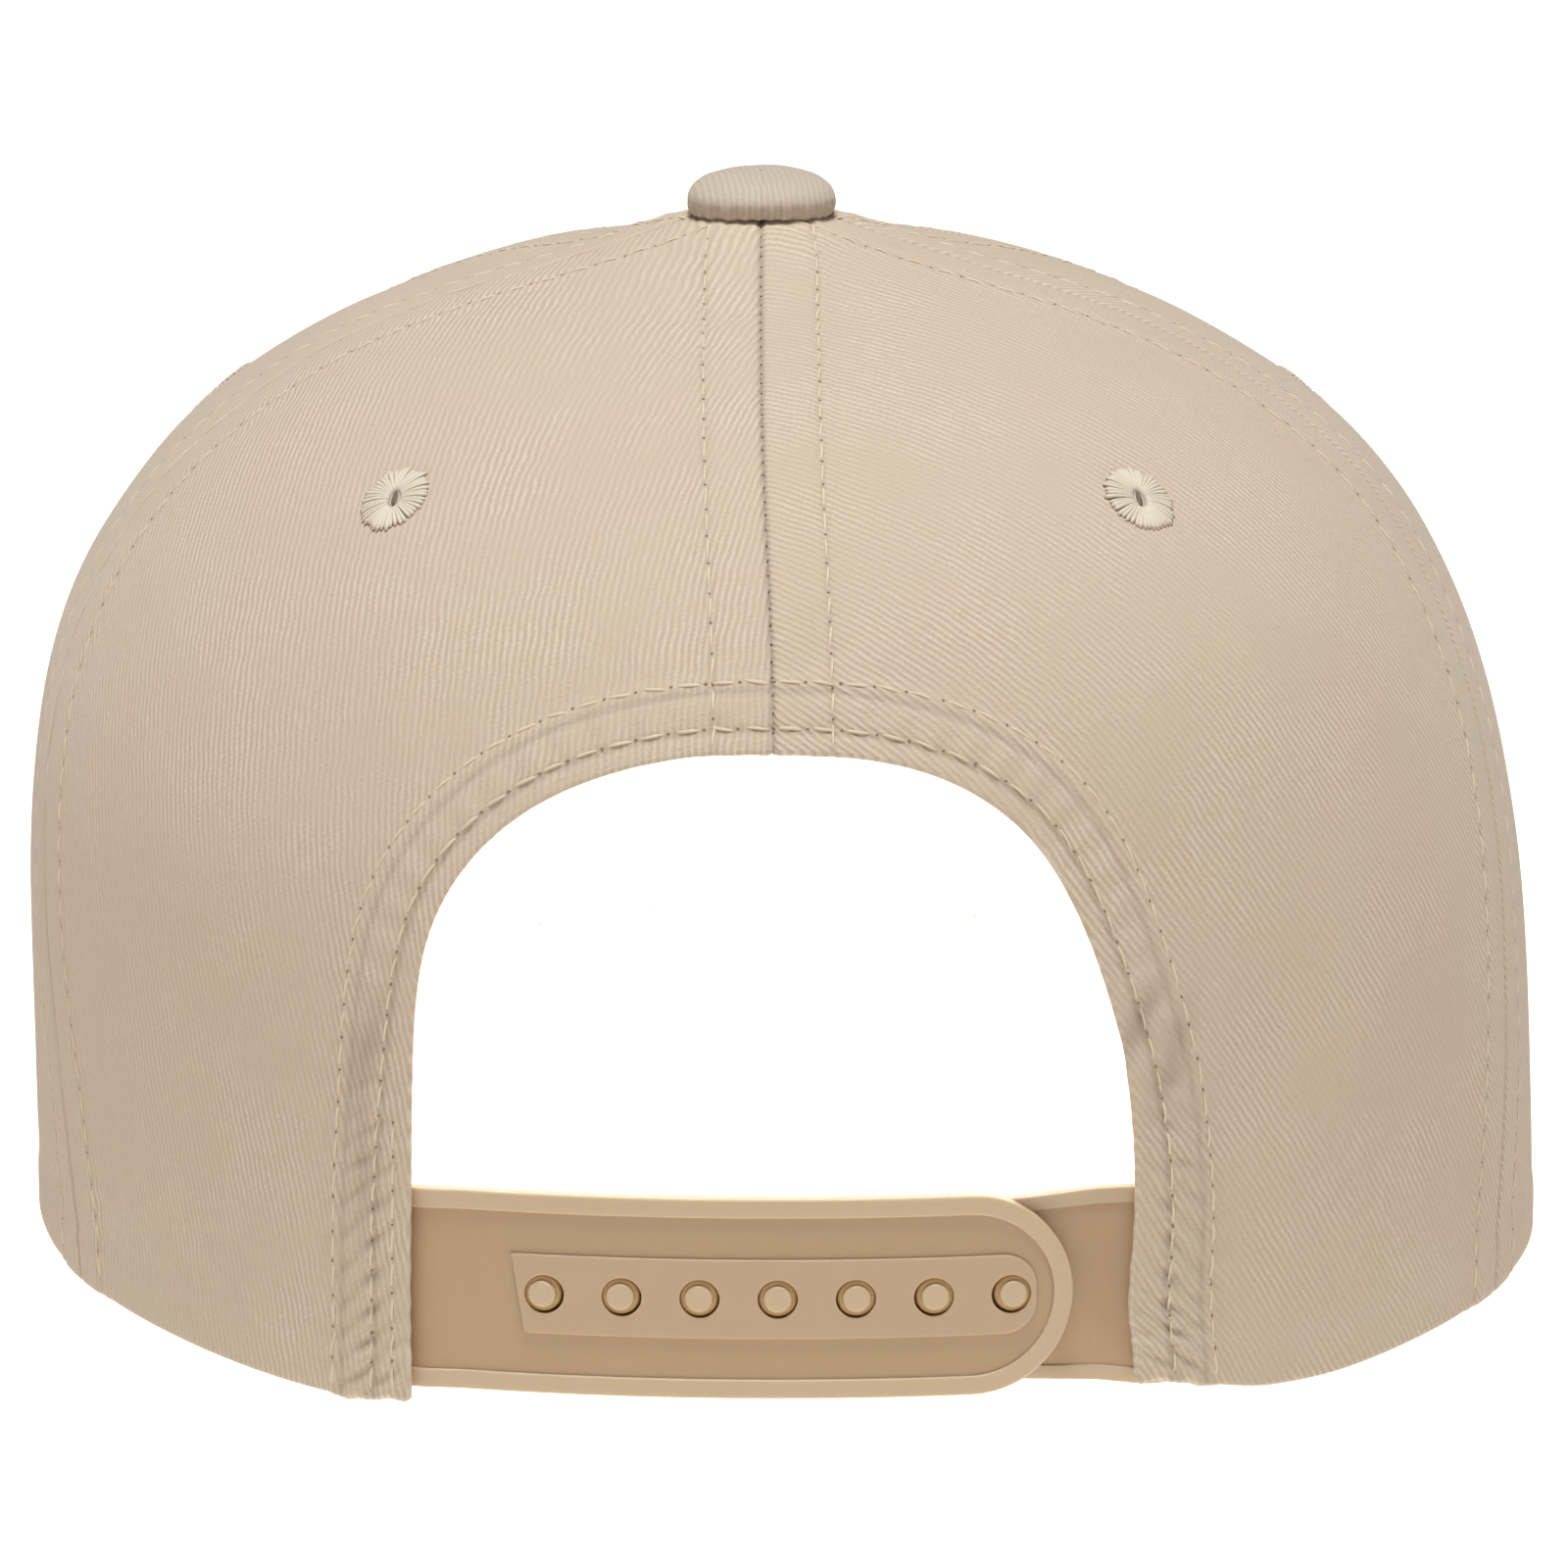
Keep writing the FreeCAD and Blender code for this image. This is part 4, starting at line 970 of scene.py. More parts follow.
def add_sweatband():
    """Three plies inside the rim; the padding pillows between the rows that hold it."""
    shares = np.linspace(share_at_height(0.6 * MM), share_at_height(BAND_TOP), 34)

    def start(share):
        return BAND_START + 0 * share

    def end(share):
        return 360 - BAND_START + 0 * share

    def pillow(azimuth, share, across):
        up = (share - shares[0]) / (shares[-1] - shares[0])
        soft = np.sin(np.pi * np.clip(up, 0, 1)) ** 0.6
        place = azimuth * BAND_RIM_PER_DEGREE
        return -0.5 * MM * soft - 0.25 * MM * soft * np.sin(TWO_PI * place / (37 * MM) + 5 * up)

    def seams(azimuth, share, across):
        up = (share - shares[0]) / (shares[-1] - shares[0])
        place = azimuth * BAND_RIM_PER_DEGREE
        gather = 0.12 * MM * np.sin(TWO_PI * place / (5.3 * MM) + 1.5 * np.sin(place / (23 * MM)))
        edge = sum(bell(up, row, 0.08) for row in BAND_ROWS)
        ridge = 0.35 * MM * sum(bell(up, row, 0.03) for row in BAND_ROWS)
        return pillow(azimuth, share, across) + ridge + gather * edge

    shapes = {"backing": None, "padding": pillow, "face": seams}
    for name, (depth, thickness, material, rests_on) in BAND_PLIES.items():
        crown_strip(f"sweatband_{name}_cloth", start, end, shares, depth, thickness, material,
                                  320, shapes[name], rests_on, nodes=[f"sweatband_{name}"],
                                  slot="padding" if name == "padding" else "sweatband")
    rows = []
    for up in BAND_ROWS:
        azimuth = np.linspace(BAND_START + 0.5, 359.5 - BAND_START, 900)
        share = np.full(900, shares[0] + (shares[-1] - shares[0]) * up)
        lift = seams(azimuth, share, 0 * azimuth)
        rows.append(inner_row(azimuth, share, BAND_STITCH_DEPTH - lift))
    add_stitches("sweatband_stitching", rows, 640)


# ---- visor ---------------------------------------------------------------------------------------

VISOR_ROWS = [3.6 * MM + 6.3 * MM * number for number in range(8)]
VISOR_ROW_DIP = 0.28 * MM
VISOR_ROW_CLEAR = 1.5 * MM


def visor_edge(turn, inset=0.0):
    power = 2 / VISOR_SQUARENESS
    across = (VISOR_HALF_WIDTH - inset) * np.sign(np.cos(turn)) * np.abs(np.cos(turn)) ** power
    along = -VISOR_CORNER - (VISOR_REACH - inset - VISOR_CORNER) * np.abs(np.sin(turn)) ** power
    return np.stack([across, along], -1)


def visor_inset(points):
    """How far inside the visor's edge each point lies."""
    x, y = np.abs(points[..., 0]), np.maximum(-points[..., 1] - VISOR_CORNER, 0.0)
    low, high = np.zeros(x.shape), np.full(x.shape, 80 * MM)
    for _ in range(32):
        middle = 0.5 * (low + high)
        level = ((x / (VISOR_HALF_WIDTH - middle)) ** VISOR_SQUARENESS
                 + (y / (VISOR_REACH - VISOR_CORNER - middle)) ** VISOR_SQUARENESS)
        low, high = np.where(level < 1, middle, low), np.where(level < 1, high, middle)
    return 0.5 * (low + high)


def visor_relief(inset):
    """The dip of a cover under its rows of stitching."""
    return -VISOR_ROW_DIP * sum(bell(inset, row, 0.8 * MM) for row in VISOR_ROWS)


def visor_grid(rows=90, columns=200):
    even = np.linspace(-1, 1, columns)
    across = 0.35 * np.sin(0.5 * math.pi * even) + 0.65 * even
    angle = np.radians(VISOR_ROOT_ANGLE * across)
    clear = 0.2 * MM
    root = np.stack([(HALF_WIDTH + clear) * np.sin(angle), -(HALF_FRONT + clear) * np.cos(angle)], -1)
    edge = visor_edge(0.5 * math.pi * (1 - across))
    out = 1 - (1 - np.linspace(0, 1, rows)) ** 1.35
    return root[None] + (edge - root)[None] * out[:, None, None]


def visor_skins(top):
    """Outer and inner skin of a visor cover; both covers close up over the board's edge."""
    flat = visor_grid()
    inset = visor_inset(flat)
    sign = 1 if top else -1
    middle = 0.5 * VISOR_THICKNESS
    close = np.sqrt(np.clip(1 - (1 - np.clip(inset / (1.9 * MM), 0, 1)) ** 2, 0, 1))
    outer = 0.45 * MM + (middle - 0.45 * MM) * close + visor_relief(inset)
    inner = 0.04 * MM + (middle - 0.84 * MM) * close
    rise = arch_height(flat[..., 0]) + middle
    skins = [np.concatenate([flat, (rise + sign * height)[..., None]], -1) for height in (outer, inner)]
    return skins, flat, inset


def visor_row(inset, sign):
    """A row of stitching at an inset from the visor's edge, with its normals; sign is the cover's side."""
    line = visor_edge(np.linspace(0, math.pi, 1200), inset)
    x, y = line.T
    outside = (x / (HALF_WIDTH + VISOR_ROW_CLEAR)) ** 2 + (y / (HALF_FRONT + VISOR_ROW_CLEAR)) ** 2 > 1
    line = line[outside]
    half = 0.5 * VISOR_THICKNESS
    z = arch_height(line[:, 0]) + half + sign * (half - VISOR_ROW_DIP)
    return np.concatenate([line, z[:, None]], -1), np.tile([0.0, 0.0, float(sign)], (len(line), 1))


def add_visor():
    for top, name in ((True, "visor_top_cover"), (False, "visor_under_cover")):
        (outer, inner), flat, inset = visor_skins(top)
        # Painted shade along the sunk rows of stitching.
        shade = 0.14 * sum(bell(inset, row, 0.5 * MM) for row in VISOR_ROWS)
        arrays = [outer, inner, flat, shade]
        if top:
            arrays = [a[:, ::-1] for a in arrays]
        piece = closed_sheet(name + "_cloth", *arrays[:3], BEIGE, arrays[3], nodes=[name], slot="twill")
        rows = [visor_row(row, 1 if top else -1) for row in VISOR_ROWS]
        add_stitches(name + "_stitching", rows, 700 + top, pitch=3.2 * MM)


# ---- button and eyelets -----------------------------------------------------------------------------

def turned(name, outline, turn, node, slot, material):
    """Solid of revolution about the crown's axis from an outline of (radius, height) points."""
    r, z = (np.array(column)[:, None] * np.ones(len(turn) - 1) for column in zip(*outline))
    points = settle(np.stack([r * np.sin(turn[:-1]), r * np.cos(turn[:-1]), z], -1))
    rows, columns = r.shape
    index = np.arange(rows * columns).reshape(rows, columns)
    following = np.roll(index, -1, 1)
    below = np.roll(index, -1, 0), np.roll(following, -1, 0)
    faces = np.stack([index, following, below[1], below[0]], -1).reshape(-1, 4)
    return new_piece(name, points, faces, material, nodes=[node], slot=slot)


BUTTON_WAIST = 0.38
BUTTON_FOOT = 0.90
BUTTON_LIFT = 0.8 * MM
BUTTON_SINK = 1.1 * MM
BUTTON_CLOTH = 0.6 * MM


def turn_button_metal(radius, base, top, turn):
    """The pressed shell under the button's cloth, and the back plate with its clinched shank."""
    turn = turn[::4]
    waist = base + BUTTON_WAIST * (top - base)
    angle = np.linspace(0, 0.5 * math.pi, 16)
    outline = []
    for inset in (0.75 * MM, 1.25 * MM):
        dome_r = (radius - inset) * np.cos(angle) ** 0.8
        dome_z = waist + (top - waist - inset) * np.sin(angle)
        side = list(zip(dome_r[:-1], dome_z[:-1])) + [(0.02 * MM, dome_z[-1])]
        side = [(BUTTON_FOOT * radius - inset, base)] + side
        outline += side if inset < 1 * MM else side[::-1]
    turned("button_shell_metal", outline, turn, "button_shell", "button_metal", METAL)
    tail = base - 2.4 * MM
    outline = [(0.02 * MM, base + 0.5 * MM), (5.3 * MM, base + 0.5 * MM), (5.4 * MM, base + 0.3 * MM),
               (5.3 * MM, base + 0.05 * MM), (1.8 * MM, base), (1.75 * MM, tail + 0.2 * MM), (1.9 * MM, tail),
               (3.6 * MM, tail - 0.1 * MM), (3.7 * MM, tail - 0.3 * MM), (3.4 * MM, tail - 0.5 * MM),
               (1.2 * MM, tail - 0.55 * MM), (0.02 * MM, tail - 0.3 * MM)]
    turned("button_back_metal", outline, turn, "button_back", "button_metal", METAL)


def add_button():
    low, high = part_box("button_cover")
    radius, top, base = high.x, high.z + BUTTON_LIFT, low.z + 2.1 * BUTTON_LIFT
    turns, steps = 160, 60
    climb = np.linspace(0, 1, steps)
    angle = 0.5 * math.pi * climb
    waist = base + BUTTON_WAIST * (top - base)
    under = np.linspace(0, 1, 14)[:-1]
    lower_r = radius * (BUTTON_FOOT + (1 - BUTTON_FOOT) * np.sin(0.5 * math.pi * under) ** 0.7)
    lower_z = base + (waist - base) * under ** 1.2
    profile_r = np.concatenate([lower_r, radius * np.cos(angle) ** 0.8])
    profile_z = np.concatenate([lower_z, waist + (top - waist) * np.sin(angle)])
    profile_r = np.maximum(profile_r, 0.05 * MM)
    turn = np.linspace(0, TWO_PI, turns + 1)
    r, z = profile_r[:, None] * np.ones(turns + 1), profile_z[:, None] * np.ones(turns + 1)
    up = (z - base) / (top - base)
    pleat = 0.22 * MM * np.sin(26 * turn + 2 * np.sin(5 * turn)) * (1 - smooth(0.05, 0.5, up))
    x, y = (r + pleat) * np.sin(turn), (r + pleat) * np.cos(turn)
    z = z + 0.18 * MM * noise_at(np.stack([x, y, z], -1), 4 * MM, 5) * up
    sunk = BUTTON_SINK * ((x / radius) ** 2 + 0.2 * (y / radius) ** 2) * (1 - up)
    outer = settle(np.stack([x, y, z - sunk], -1))
    shrink = 1 - BUTTON_CLOTH / radius
    inner_z = base + (z - base) * (1 - BUTTON_CLOTH / (top - base)) - sunk
    inner = settle(np.stack([x * shrink, y * shrink, inner_z], -1))
    turn_button_metal(radius, base, top, turn)
    uv = np.stack([x + 0.12 * y, y], -1)
    piece = closed_sheet("button_cover_cloth", outer[:, ::-1], inner[:, ::-1], uv[:, ::-1], BUTTON_TWILL,
                         nodes=["button_cover"], slot="twill")


EYELETS = {"back": (41.2, 0.608), "side": (109.0, 0.57), "front": (155.0, 0.608)}
EYELET_SLIT = np.array([0.3 * MM, 0.95 * MM])
EYELET_LINING = 3.4 * MM
EYELET_REACH = 4.6 * MM
EYELET_BULGE = {"back": 0.5 * MM, "side": 0.3 * MM, "front": 0.5 * MM}
EYELET_DEPTH = {"back": 0.8 * MM, "side": 0.8 * MM, "front": 1.3 * MM}
EYELET_THREADS, EYELET_RINGS, EYELET_SIDES = 46, 12, 7
ROUND_COUNT = 48
CIRCLE = np.linspace(0, TWO_PI, ROUND_COUNT, endpoint=False)
CIRCLE = np.stack([np.cos(CIRCLE), np.sin(CIRCLE)], -1)


def eyelet_place(panel, sign):
    """The vent's centre, short axis, long axis and outward normal, and the cloth's lift there."""
    azimuth, share = EYELETS[panel]
    height, _ = panel_relief(panel, np.array([azimuth]), np.array([share]))
    point, normal = (a[0] for a in crown_base(np.array([sign * azimuth]), np.array([share])))
    lift = height[0] + folds(np.array([point]), sign)[0]
    centre = settle(point + normal * lift)
    up = Vector(normal)
    side_axis = Vector((0, 0, 1)).cross(up).normalized()
    upright = up.cross(side_axis).normalized()
    tilt = math.radians(-28 if sign > 0 else 24)
    long_axis = np.array(upright * math.cos(tilt) + side_axis * math.sin(tilt))
    return (centre, np.cross(long_axis, np.array(up)), long_axis, np.array(up)), lift


def eyelet_points(vent, across, along, height):
    """Points at distances along the vent's short axis, long axis and normal."""
    centre, short_axis, long_axis, up = vent
    return centre + across[..., None] * short_axis + along[..., None] * long_axis + height[..., None] * up


def eyelet_threads(vent, bulge_height, levels, random):
    """Satin stitches from the rim to the slit, for the outer face and then the inner one."""
    turn = np.linspace(0, TWO_PI, EYELET_THREADS, endpoint=False) + random.normal(0, 0.02, EYELET_THREADS)
    at_slit = EYELET_SLIT * np.stack([np.cos(turn), np.sin(turn)], -1)
    reach = EYELET_REACH + random.normal(0, 0.13 * MM, EYELET_THREADS)
    at_rim = np.stack([reach * np.cos(turn) * 0.96, reach * np.sin(turn) * 1.04], -1)
    along = np.linspace(0, 1, EYELET_RINGS)
    flat = at_rim[:, None] * (1 - along[None, :, None]) + at_slit[:, None] * along[None, :, None]
    bulge = bulge_height * np.sin(np.pi * np.clip(0.06 + 0.86 * along, 0, 1)) ** 0.7
    drop = -0.45 * MM * smooth(0.78, 1.0, along)
    taper = 0.55 + 0.45 * smooth(0, 0.12, along)
    # Painted shade: a little where the threads sink in at the rim, dark towards the slit.
    dark = 0.12 * (1 - smooth(0.0, 0.15, along)) + 0.9 * smooth(0.82, 0.96, along)
    parts = []
    for face, level in levels:
        height = level + face * (bulge + drop - 0.12 * MM)
        centres = eyelet_points(vent, flat[..., 0], flat[..., 1], height[None, :])
        normals = np.tile(face * vent[3], (EYELET_THREADS, EYELET_RINGS, 1))
        thick = np.linspace(0.32, 0.10, EYELET_RINGS) * MM
        thick = thick[None, :] * random.uniform(0.9, 1.15, (EYELET_THREADS, 1)) * taper[None]
        parts.append(tubes(centres, normals, thick, EYELET_SIDES, 0.85))
    return parts, np.tile(np.repeat(dark, EYELET_SIDES), EYELET_THREADS)


def eyelet_lining(vent, depth, lift, sides=10):
    """Ring of cloth between the two faces of stitches."""
    section = np.linspace(0, TWO_PI, sides, endpoint=False)
    middle = (EYELET_LINING + EYELET_SLIT) / 2 * CIRCLE
    half_w = (EYELET_LINING - EYELET_SLIT) / 2 * CIRCLE
    across, along = (middle[:, None, k] + half_w[:, None, k] * np.cos(section) for k in range(2))
    height = (-0.5 * depth - 0.5 * lift) + (0.5 * depth + 0.05 * MM) * np.sin(section)
    points = eyelet_points(vent, across, along, height[None, :])
    index = np.arange(ROUND_COUNT * sides).reshape(ROUND_COUNT, sides)
    following = np.roll(index, -1, 0)
    faces = np.stack([index, np.roll(index, -1, 1), np.roll(following, -1, 1), following], -1).reshape(-1, 4)
    # Painted shade: a little over the whole ring, dark on its innermost edge by the slit.
    shade = np.tile(0.1 + 0.8 * smooth(-0.6, -0.95, np.cos(section)), ROUND_COUNT)
    return (points.reshape(-1, 3), [list(face) for face in faces[:, ::-1]]), shade


def eyelet_slit_shade(vent, depth, lift):
    """Dark solid that fills the slit, through the cloth: painted shade in the slit."""
    slit = 1.25 * EYELET_SLIT * CIRCLE
    levels = np.array([0.1 * MM, -depth - lift - 0.1 * MM])
    points = eyelet_points(vent, slit[None, :, 0], slit[None, :, 1], levels[:, None])
    first, second = np.arange(2 * ROUND_COUNT).reshape(2, ROUND_COUNT)
    walls = [list(wall) for wall in ring_faces(first, second)]
    return (points.reshape(-1, 3), [list(first), list(second[::-1])] + walls), np.full(2 * ROUND_COUNT, 0.92)


def add_eyelet(panel, side, sign, seed):
    """Satin-stitched vent: a raised ring of thread round an oval slit, on both sides of the cloth."""
    random = np.random.default_rng(seed)
    vent, lift = eyelet_place(panel, sign)
    depth = EYELET_DEPTH[panel]
    levels = ((1, 0.0), (-1, -depth - lift))
    threads, thread_shade = eyelet_threads(vent, EYELET_BULGE[panel], levels, random)
    lining, lining_shade = eyelet_lining(vent, depth, lift)
    # Painted shade: a dark solid fills the slit.
    slit_shade, slit_shade_values = eyelet_slit_shade(vent, depth, lift)
    shade = np.concatenate([thread_shade, thread_shade, lining_shade, slit_shade_values])
    new_piece(f"{panel}_{side}_eyelet_stitching", *join_parts([*threads, lining, slit_shade]), EYELET_THREAD,
              None, shade, nodes=[f"{panel}_{side}_eyelet"], slot="eyelet_thread")


# ---- snap straps ----------------------------------------------------------------------------------------

STRAP_RADIUS = 170 * MM
STRAP_REACH = 87 * MM
STRAP_HEIGHT = 24.0 * MM
STRAP_MIDDLE = 13.75 * MM
STRAP_PLATE = 1.4 * MM
STRAP_GAP = 0.4 * MM
STRAP_TIP = 34.3 * MM
STRAP_BORDER = 2.3 * MM
STRAP_NECK = 46 * MM
STRAP_ROOT = 55.6 * MM
BOSS_HEIGHT = 9.5 * MM
SNAP_PITCH = 9 * MM
SNAP_COUNT = 7
SNAP_HOLE = 2.3 * MM
ROOT_END, ROOT_DEPTH = 37.3, 1.5 * MM


def strap_path(radius):
    """Plan line of a strap's outer face, from free end to hidden root, by distance from the middle."""
    azimuth = np.linspace(15.0, ROOT_END, 200)
    hull, normal = crown_base(azimuth, np.full(200, share_at_height(STRAP_MIDDLE)))
    root = hull - normal * ROOT_DEPTH
    x = np.linspace(-0.35 * radius, root[-1, 0], 1500)
    free = STRAP_REACH - STRAP_RADIUS + np.sqrt(radius ** 2 - x ** 2)
    fixed = np.interp(x, root[:, 0], root[:, 1])
    path = np.stack([x, free + (fixed - free) * smooth(36 * MM, 47 * MM, x)], -1)
    run = run_along(path)
    return run - np.interp(0.0, x, run), path


def bend_strap(points, radius, sign):
    """Wrap flat points (along, up, out) round the strap's path; sign mirrors it to the -X root."""
    run, path = strap_path(radius)
    tangent = unit(np.gradient(path, axis=0))
    along = points[:, 0]
    place = read_off(along, run, path)
    heading = unit(read_off(along, run, tangent))
    outwards = np.stack([-heading[:, 1], heading[:, 0]], -1)
    flat = place + outwards * points[:, 2:3]
    return np.stack([sign * flat[:, 0], flat[:, 1], STRAP_MIDDLE + points[:, 1]], -1)


def dense(corners, spacing=0.7 * MM):
    """Points along a closed outline no further apart than the spacing."""
    corners = np.asarray(corners, float)
    found = []
    for start, end in zip(corners, np.roll(corners, -1, 0)):
        count = max(1, int(math.ceil(np.linalg.norm(end - start) / spacing)))
        found.append(start + (end - start) * np.arange(count)[:, None] / count)
    return np.concatenate(found)


def arc_points(centre, radius, low, high, count):
    turn = np.radians(np.linspace(low, high, count))
    return np.stack([centre[0] + radius * np.cos(turn), centre[1] + radius * np.sin(turn)], -1)


def loop_normals(loop):
    """Outward normals of a loop that runs anticlockwise round solid material."""
    edge = np.roll(loop, -1, 0) - loop
    before = unit(edge) + unit(np.roll(edge, 1, 0))
    return unit(np.stack([before[:, 1], -before[:, 0]], -1))


def inside(points, loop):
    x, y = points[:, 0:1], points[:, 1:2]
    x1, y1 = loop[None, :, 0], loop[None, :, 1]
    x2, y2 = np.roll(loop[:, 0], -1)[None], np.roll(loop[:, 1], -1)[None]
    rise = np.where(y2 == y1, 1e-12, y2 - y1)
    crosses = ((y1 > y) != (y2 > y)) & (x < (x2 - x1) * (y - y1) / rise + x1)
    return crosses.sum(1) % 2 == 1


EDGE_STEPS = 4


def flat_solid(loops, back, front, rounding, spacing=1.5 * MM):
    """Plate with rounded front edges; its first loop is its outline, the rest are clockwise holes."""
    inset = [loop - loop_normals(loop) * rounding for loop in loops]
    low, high = loops[0].min(0), loops[0].max(0)
    grid = np.stack(np.meshgrid(np.arange(low[0] + spacing, high[0], spacing),
                                np.arange(low[1] + spacing, high[1], spacing)), -1).reshape(-1, 2)
    clear = loops[0] - loop_normals(loops[0]) * (rounding + 0.45 * spacing)
    keep = inside(grid, clear)
    for hole in loops[1:]:
        keep &= ~inside(grid, hole - loop_normals(hole) * (rounding + 0.45 * spacing))
    grid = grid[keep]
    corners = [Vector(p) for loop in inset for p in loop] + [Vector(p) for p in grid]
    edges, start = [], 0
    for loop in inset:
        edges += [(start + i, start + (i + 1) % len(loop)) for i in range(len(loop))]
        start += len(loop)
    found, _, triangles, origin, _, _ = delaunay_2d_cdt(corners, edges, [], 0, 1e-7)
    flat = np.array([list(v) for v in found])
    triangles = np.array([t for t in triangles if len(t) == 3])
    middle = flat[triangles].mean(1)
    good = inside(middle, inset[0])
    for hole in inset[1:]:
        good &= ~inside(middle, hole)
    triangles = triangles[good]
    number = {source: new for new, sources in enumerate(origin) for source in sources}
    count = len(flat)
    points = [np.column_stack([flat, np.full(count, front)]), np.column_stack([flat, np.full(count, back)])]
    faces = [list(t) for t in triangles] + [[a + count, c + count, b + count] for a, b, c in triangles]
    total, start = 2 * count, 0
    for loop, shrunk in zip(loops, inset):
        size = len(loop)
        rim = np.array([number[start + i] for i in range(size)])
        previous = rim
        turns = 0.5 * math.pi * np.arange(1, EDGE_STEPS + 1) / EDGE_STEPS
        rings = [(shrunk + (loop - shrunk) * math.sin(turn), front - rounding * (1 - math.cos(turn)))
                 for turn in turns]
        rings.append((loop, back + 0.02 * MM))
        for ring, level in rings:
            points.append(np.column_stack([ring, np.full(size, level)]))
            current = total + np.arange(size)
            faces += [list(f) for f in ring_faces(previous, current)]
            previous = current
            total += size
        faces += [list(f) for f in ring_faces(previous, rim + count)]
        start += size
    return np.concatenate(points), faces


def strap_outline(half):
    """Anticlockwise outline with a round free end and a narrower, square root."""
    middle, narrow = (-STRAP_TIP + half, 0.0), half - 1.6 * MM
    upper = arc_points(middle, half, 90, 180, 20)
    lower = arc_points(middle, half, 180, 270, 20)[1:]
    return dense(np.concatenate([
        [(STRAP_ROOT, narrow), (STRAP_NECK + 3 * MM, narrow), (STRAP_NECK, half)], upper, lower,
        [(STRAP_NECK, -half), (STRAP_NECK + 3 * MM, -narrow), (STRAP_ROOT, -narrow)]]))


def snap_hole(number):
    along = (number - 0.5 * (SNAP_COUNT - 1)) * SNAP_PITCH
    return arc_points((along, 0.0), SNAP_HOLE, 360, 0, 41)[:-1]


def snap_peg(number, radius, back, front):
    """Peg with a rounded top."""
    along = (number - 0.5 * (SNAP_COUNT - 1)) * SNAP_PITCH
    loop = arc_points((along, 0.0), radius, 0, 360, 33)[:-1]
    return flat_solid([loop], back, front, 0.45 * MM, 0.8 * MM)


def strap_piece(name, layers, radius, sign, nodes):
    """One moulded strap from flat layers, each (points, faces, material number), bent round its path."""
    points, faces = join_parts([(p, f) for p, f, _ in layers])
    marks = np.concatenate([np.full(len(f), mark) for _, f, mark in layers])
    bent = bend_strap(points, radius, sign)
    if sign > 0:
        faces = [face[::-1] for face in faces]
    piece = new_piece(name, bent, faces, STRAP, body=None, slot="strap_plastic")
    # Material numbers 1 to 3: lighter copies painted as lit for raised parts and boss, then the painted light
    # of the gap round the pegs.
    for material in (STRAP_RAISED_PAINTED_LIT, STRAP_BOSS_PAINTED_LIT, STRAP_GAP_PAINTED_LIGHT):
        piece.data.materials.append(material)
    piece.data.polygons.foreach_set("material_index", marks.astype(np.int32))
    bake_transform(piece)
    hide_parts(*nodes)
    return piece


def add_straps():
    half = 0.5 * STRAP_HEIGHT
    holes = [snap_hole(number) for number in range(SNAP_COUNT)]
    plate = flat_solid([strap_outline(half)] + holes, -STRAP_PLATE, 0.0, 0.25 * MM)
    border = border_ring(half)
    boss = flat_solid([boss_outline()] + holes, -0.3 * MM, 0.4 * MM, 0.14 * MM)
    # Border (1) and boss (2) take the lighter copies of the plastic, painted as lit.
    strap_piece("hole_strap_moulding", [(*plate, 0), (*border, 1), (*boss, 2)], STRAP_RADIUS, 1,
                ["hole_strap", "hole_strap_root"])
    peg_radius = STRAP_RADIUS - STRAP_PLATE - STRAP_GAP
    plate = flat_solid([strap_outline(half)], -STRAP_PLATE, 0.0, 0.25 * MM)
    plate = (slim_free_end(plate[0]), plate[1])
    edges = [flat_solid([edge_bar(side, half)], -0.3 * MM, 0.25 * MM, 0.2 * MM) for side in (1, -1)]
    edges = [(slim_free_end(points), faces) for points, faces in edges]
    pegs = [snap_peg(number, 1.65 * MM, -0.4 * MM, 2.3 * MM) for number in range(SNAP_COUNT)]
    feet = [snap_peg(number, 2.25 * MM, -0.4 * MM, 1.8 * MM) for number in range(SNAP_COUNT)]
    # Edge bars and pegs take the copy painted as lit (1); the pegs' feet take the painted light of the gap
    # (3).
    layers = ([(*plate, 0)] + [(*edge, 1) for edge in edges] + [(*peg, 1) for peg in pegs]
              + [(*foot, 3) for foot in feet])
    strap_piece("peg_strap_moulding", layers, peg_radius, -1, ["peg_strap", "peg_strap_root"])


def slim_free_end(points):
    """The inner strap is a little lower where the outer one covers it."""
    points = np.array(points)
    covered = np.clip((43 * MM - points[:, 0]) / (15 * MM), 0.0, 1.0)
    points[:, 1] *= 1 - 0.09 * covered
    return points


def border_ring(half):
    """Raised border along both long edges and round the free end."""
    inner, tip = half - STRAP_BORDER, STRAP_TIP - STRAP_BORDER
    outside = arc_points((-STRAP_TIP + half, 0.0), half, 90, 180, 24)
    outside_low = arc_points((-STRAP_TIP + half, 0.0), half, 180, 270, 24)[1:]
    inside_high = arc_points((-tip + inner, 0.0), inner, 90, 180, 20)
    inside_low = arc_points((-tip + inner, 0.0), inner, 180, 270, 20)[1:]
    loop = np.concatenate([[(STRAP_NECK, half)], outside, outside_low,
                           [(STRAP_NECK, -half), (STRAP_NECK, -inner)],
                           inside_low[::-1], inside_high[::-1], [(STRAP_NECK, inner)]])
    return flat_solid([dense(loop)], -0.3 * MM, 0.4 * MM, 0.3 * MM)


def edge_bar(side, half):
    outer, inner = side * half, side * (half - 1.9 * MM)
    end = -STRAP_TIP + 12 * MM
    corners = [(STRAP_NECK, outer), (end, outer), (end, inner), (STRAP_NECK, inner)]
    return dense(corners if side > 0 else corners[::-1])


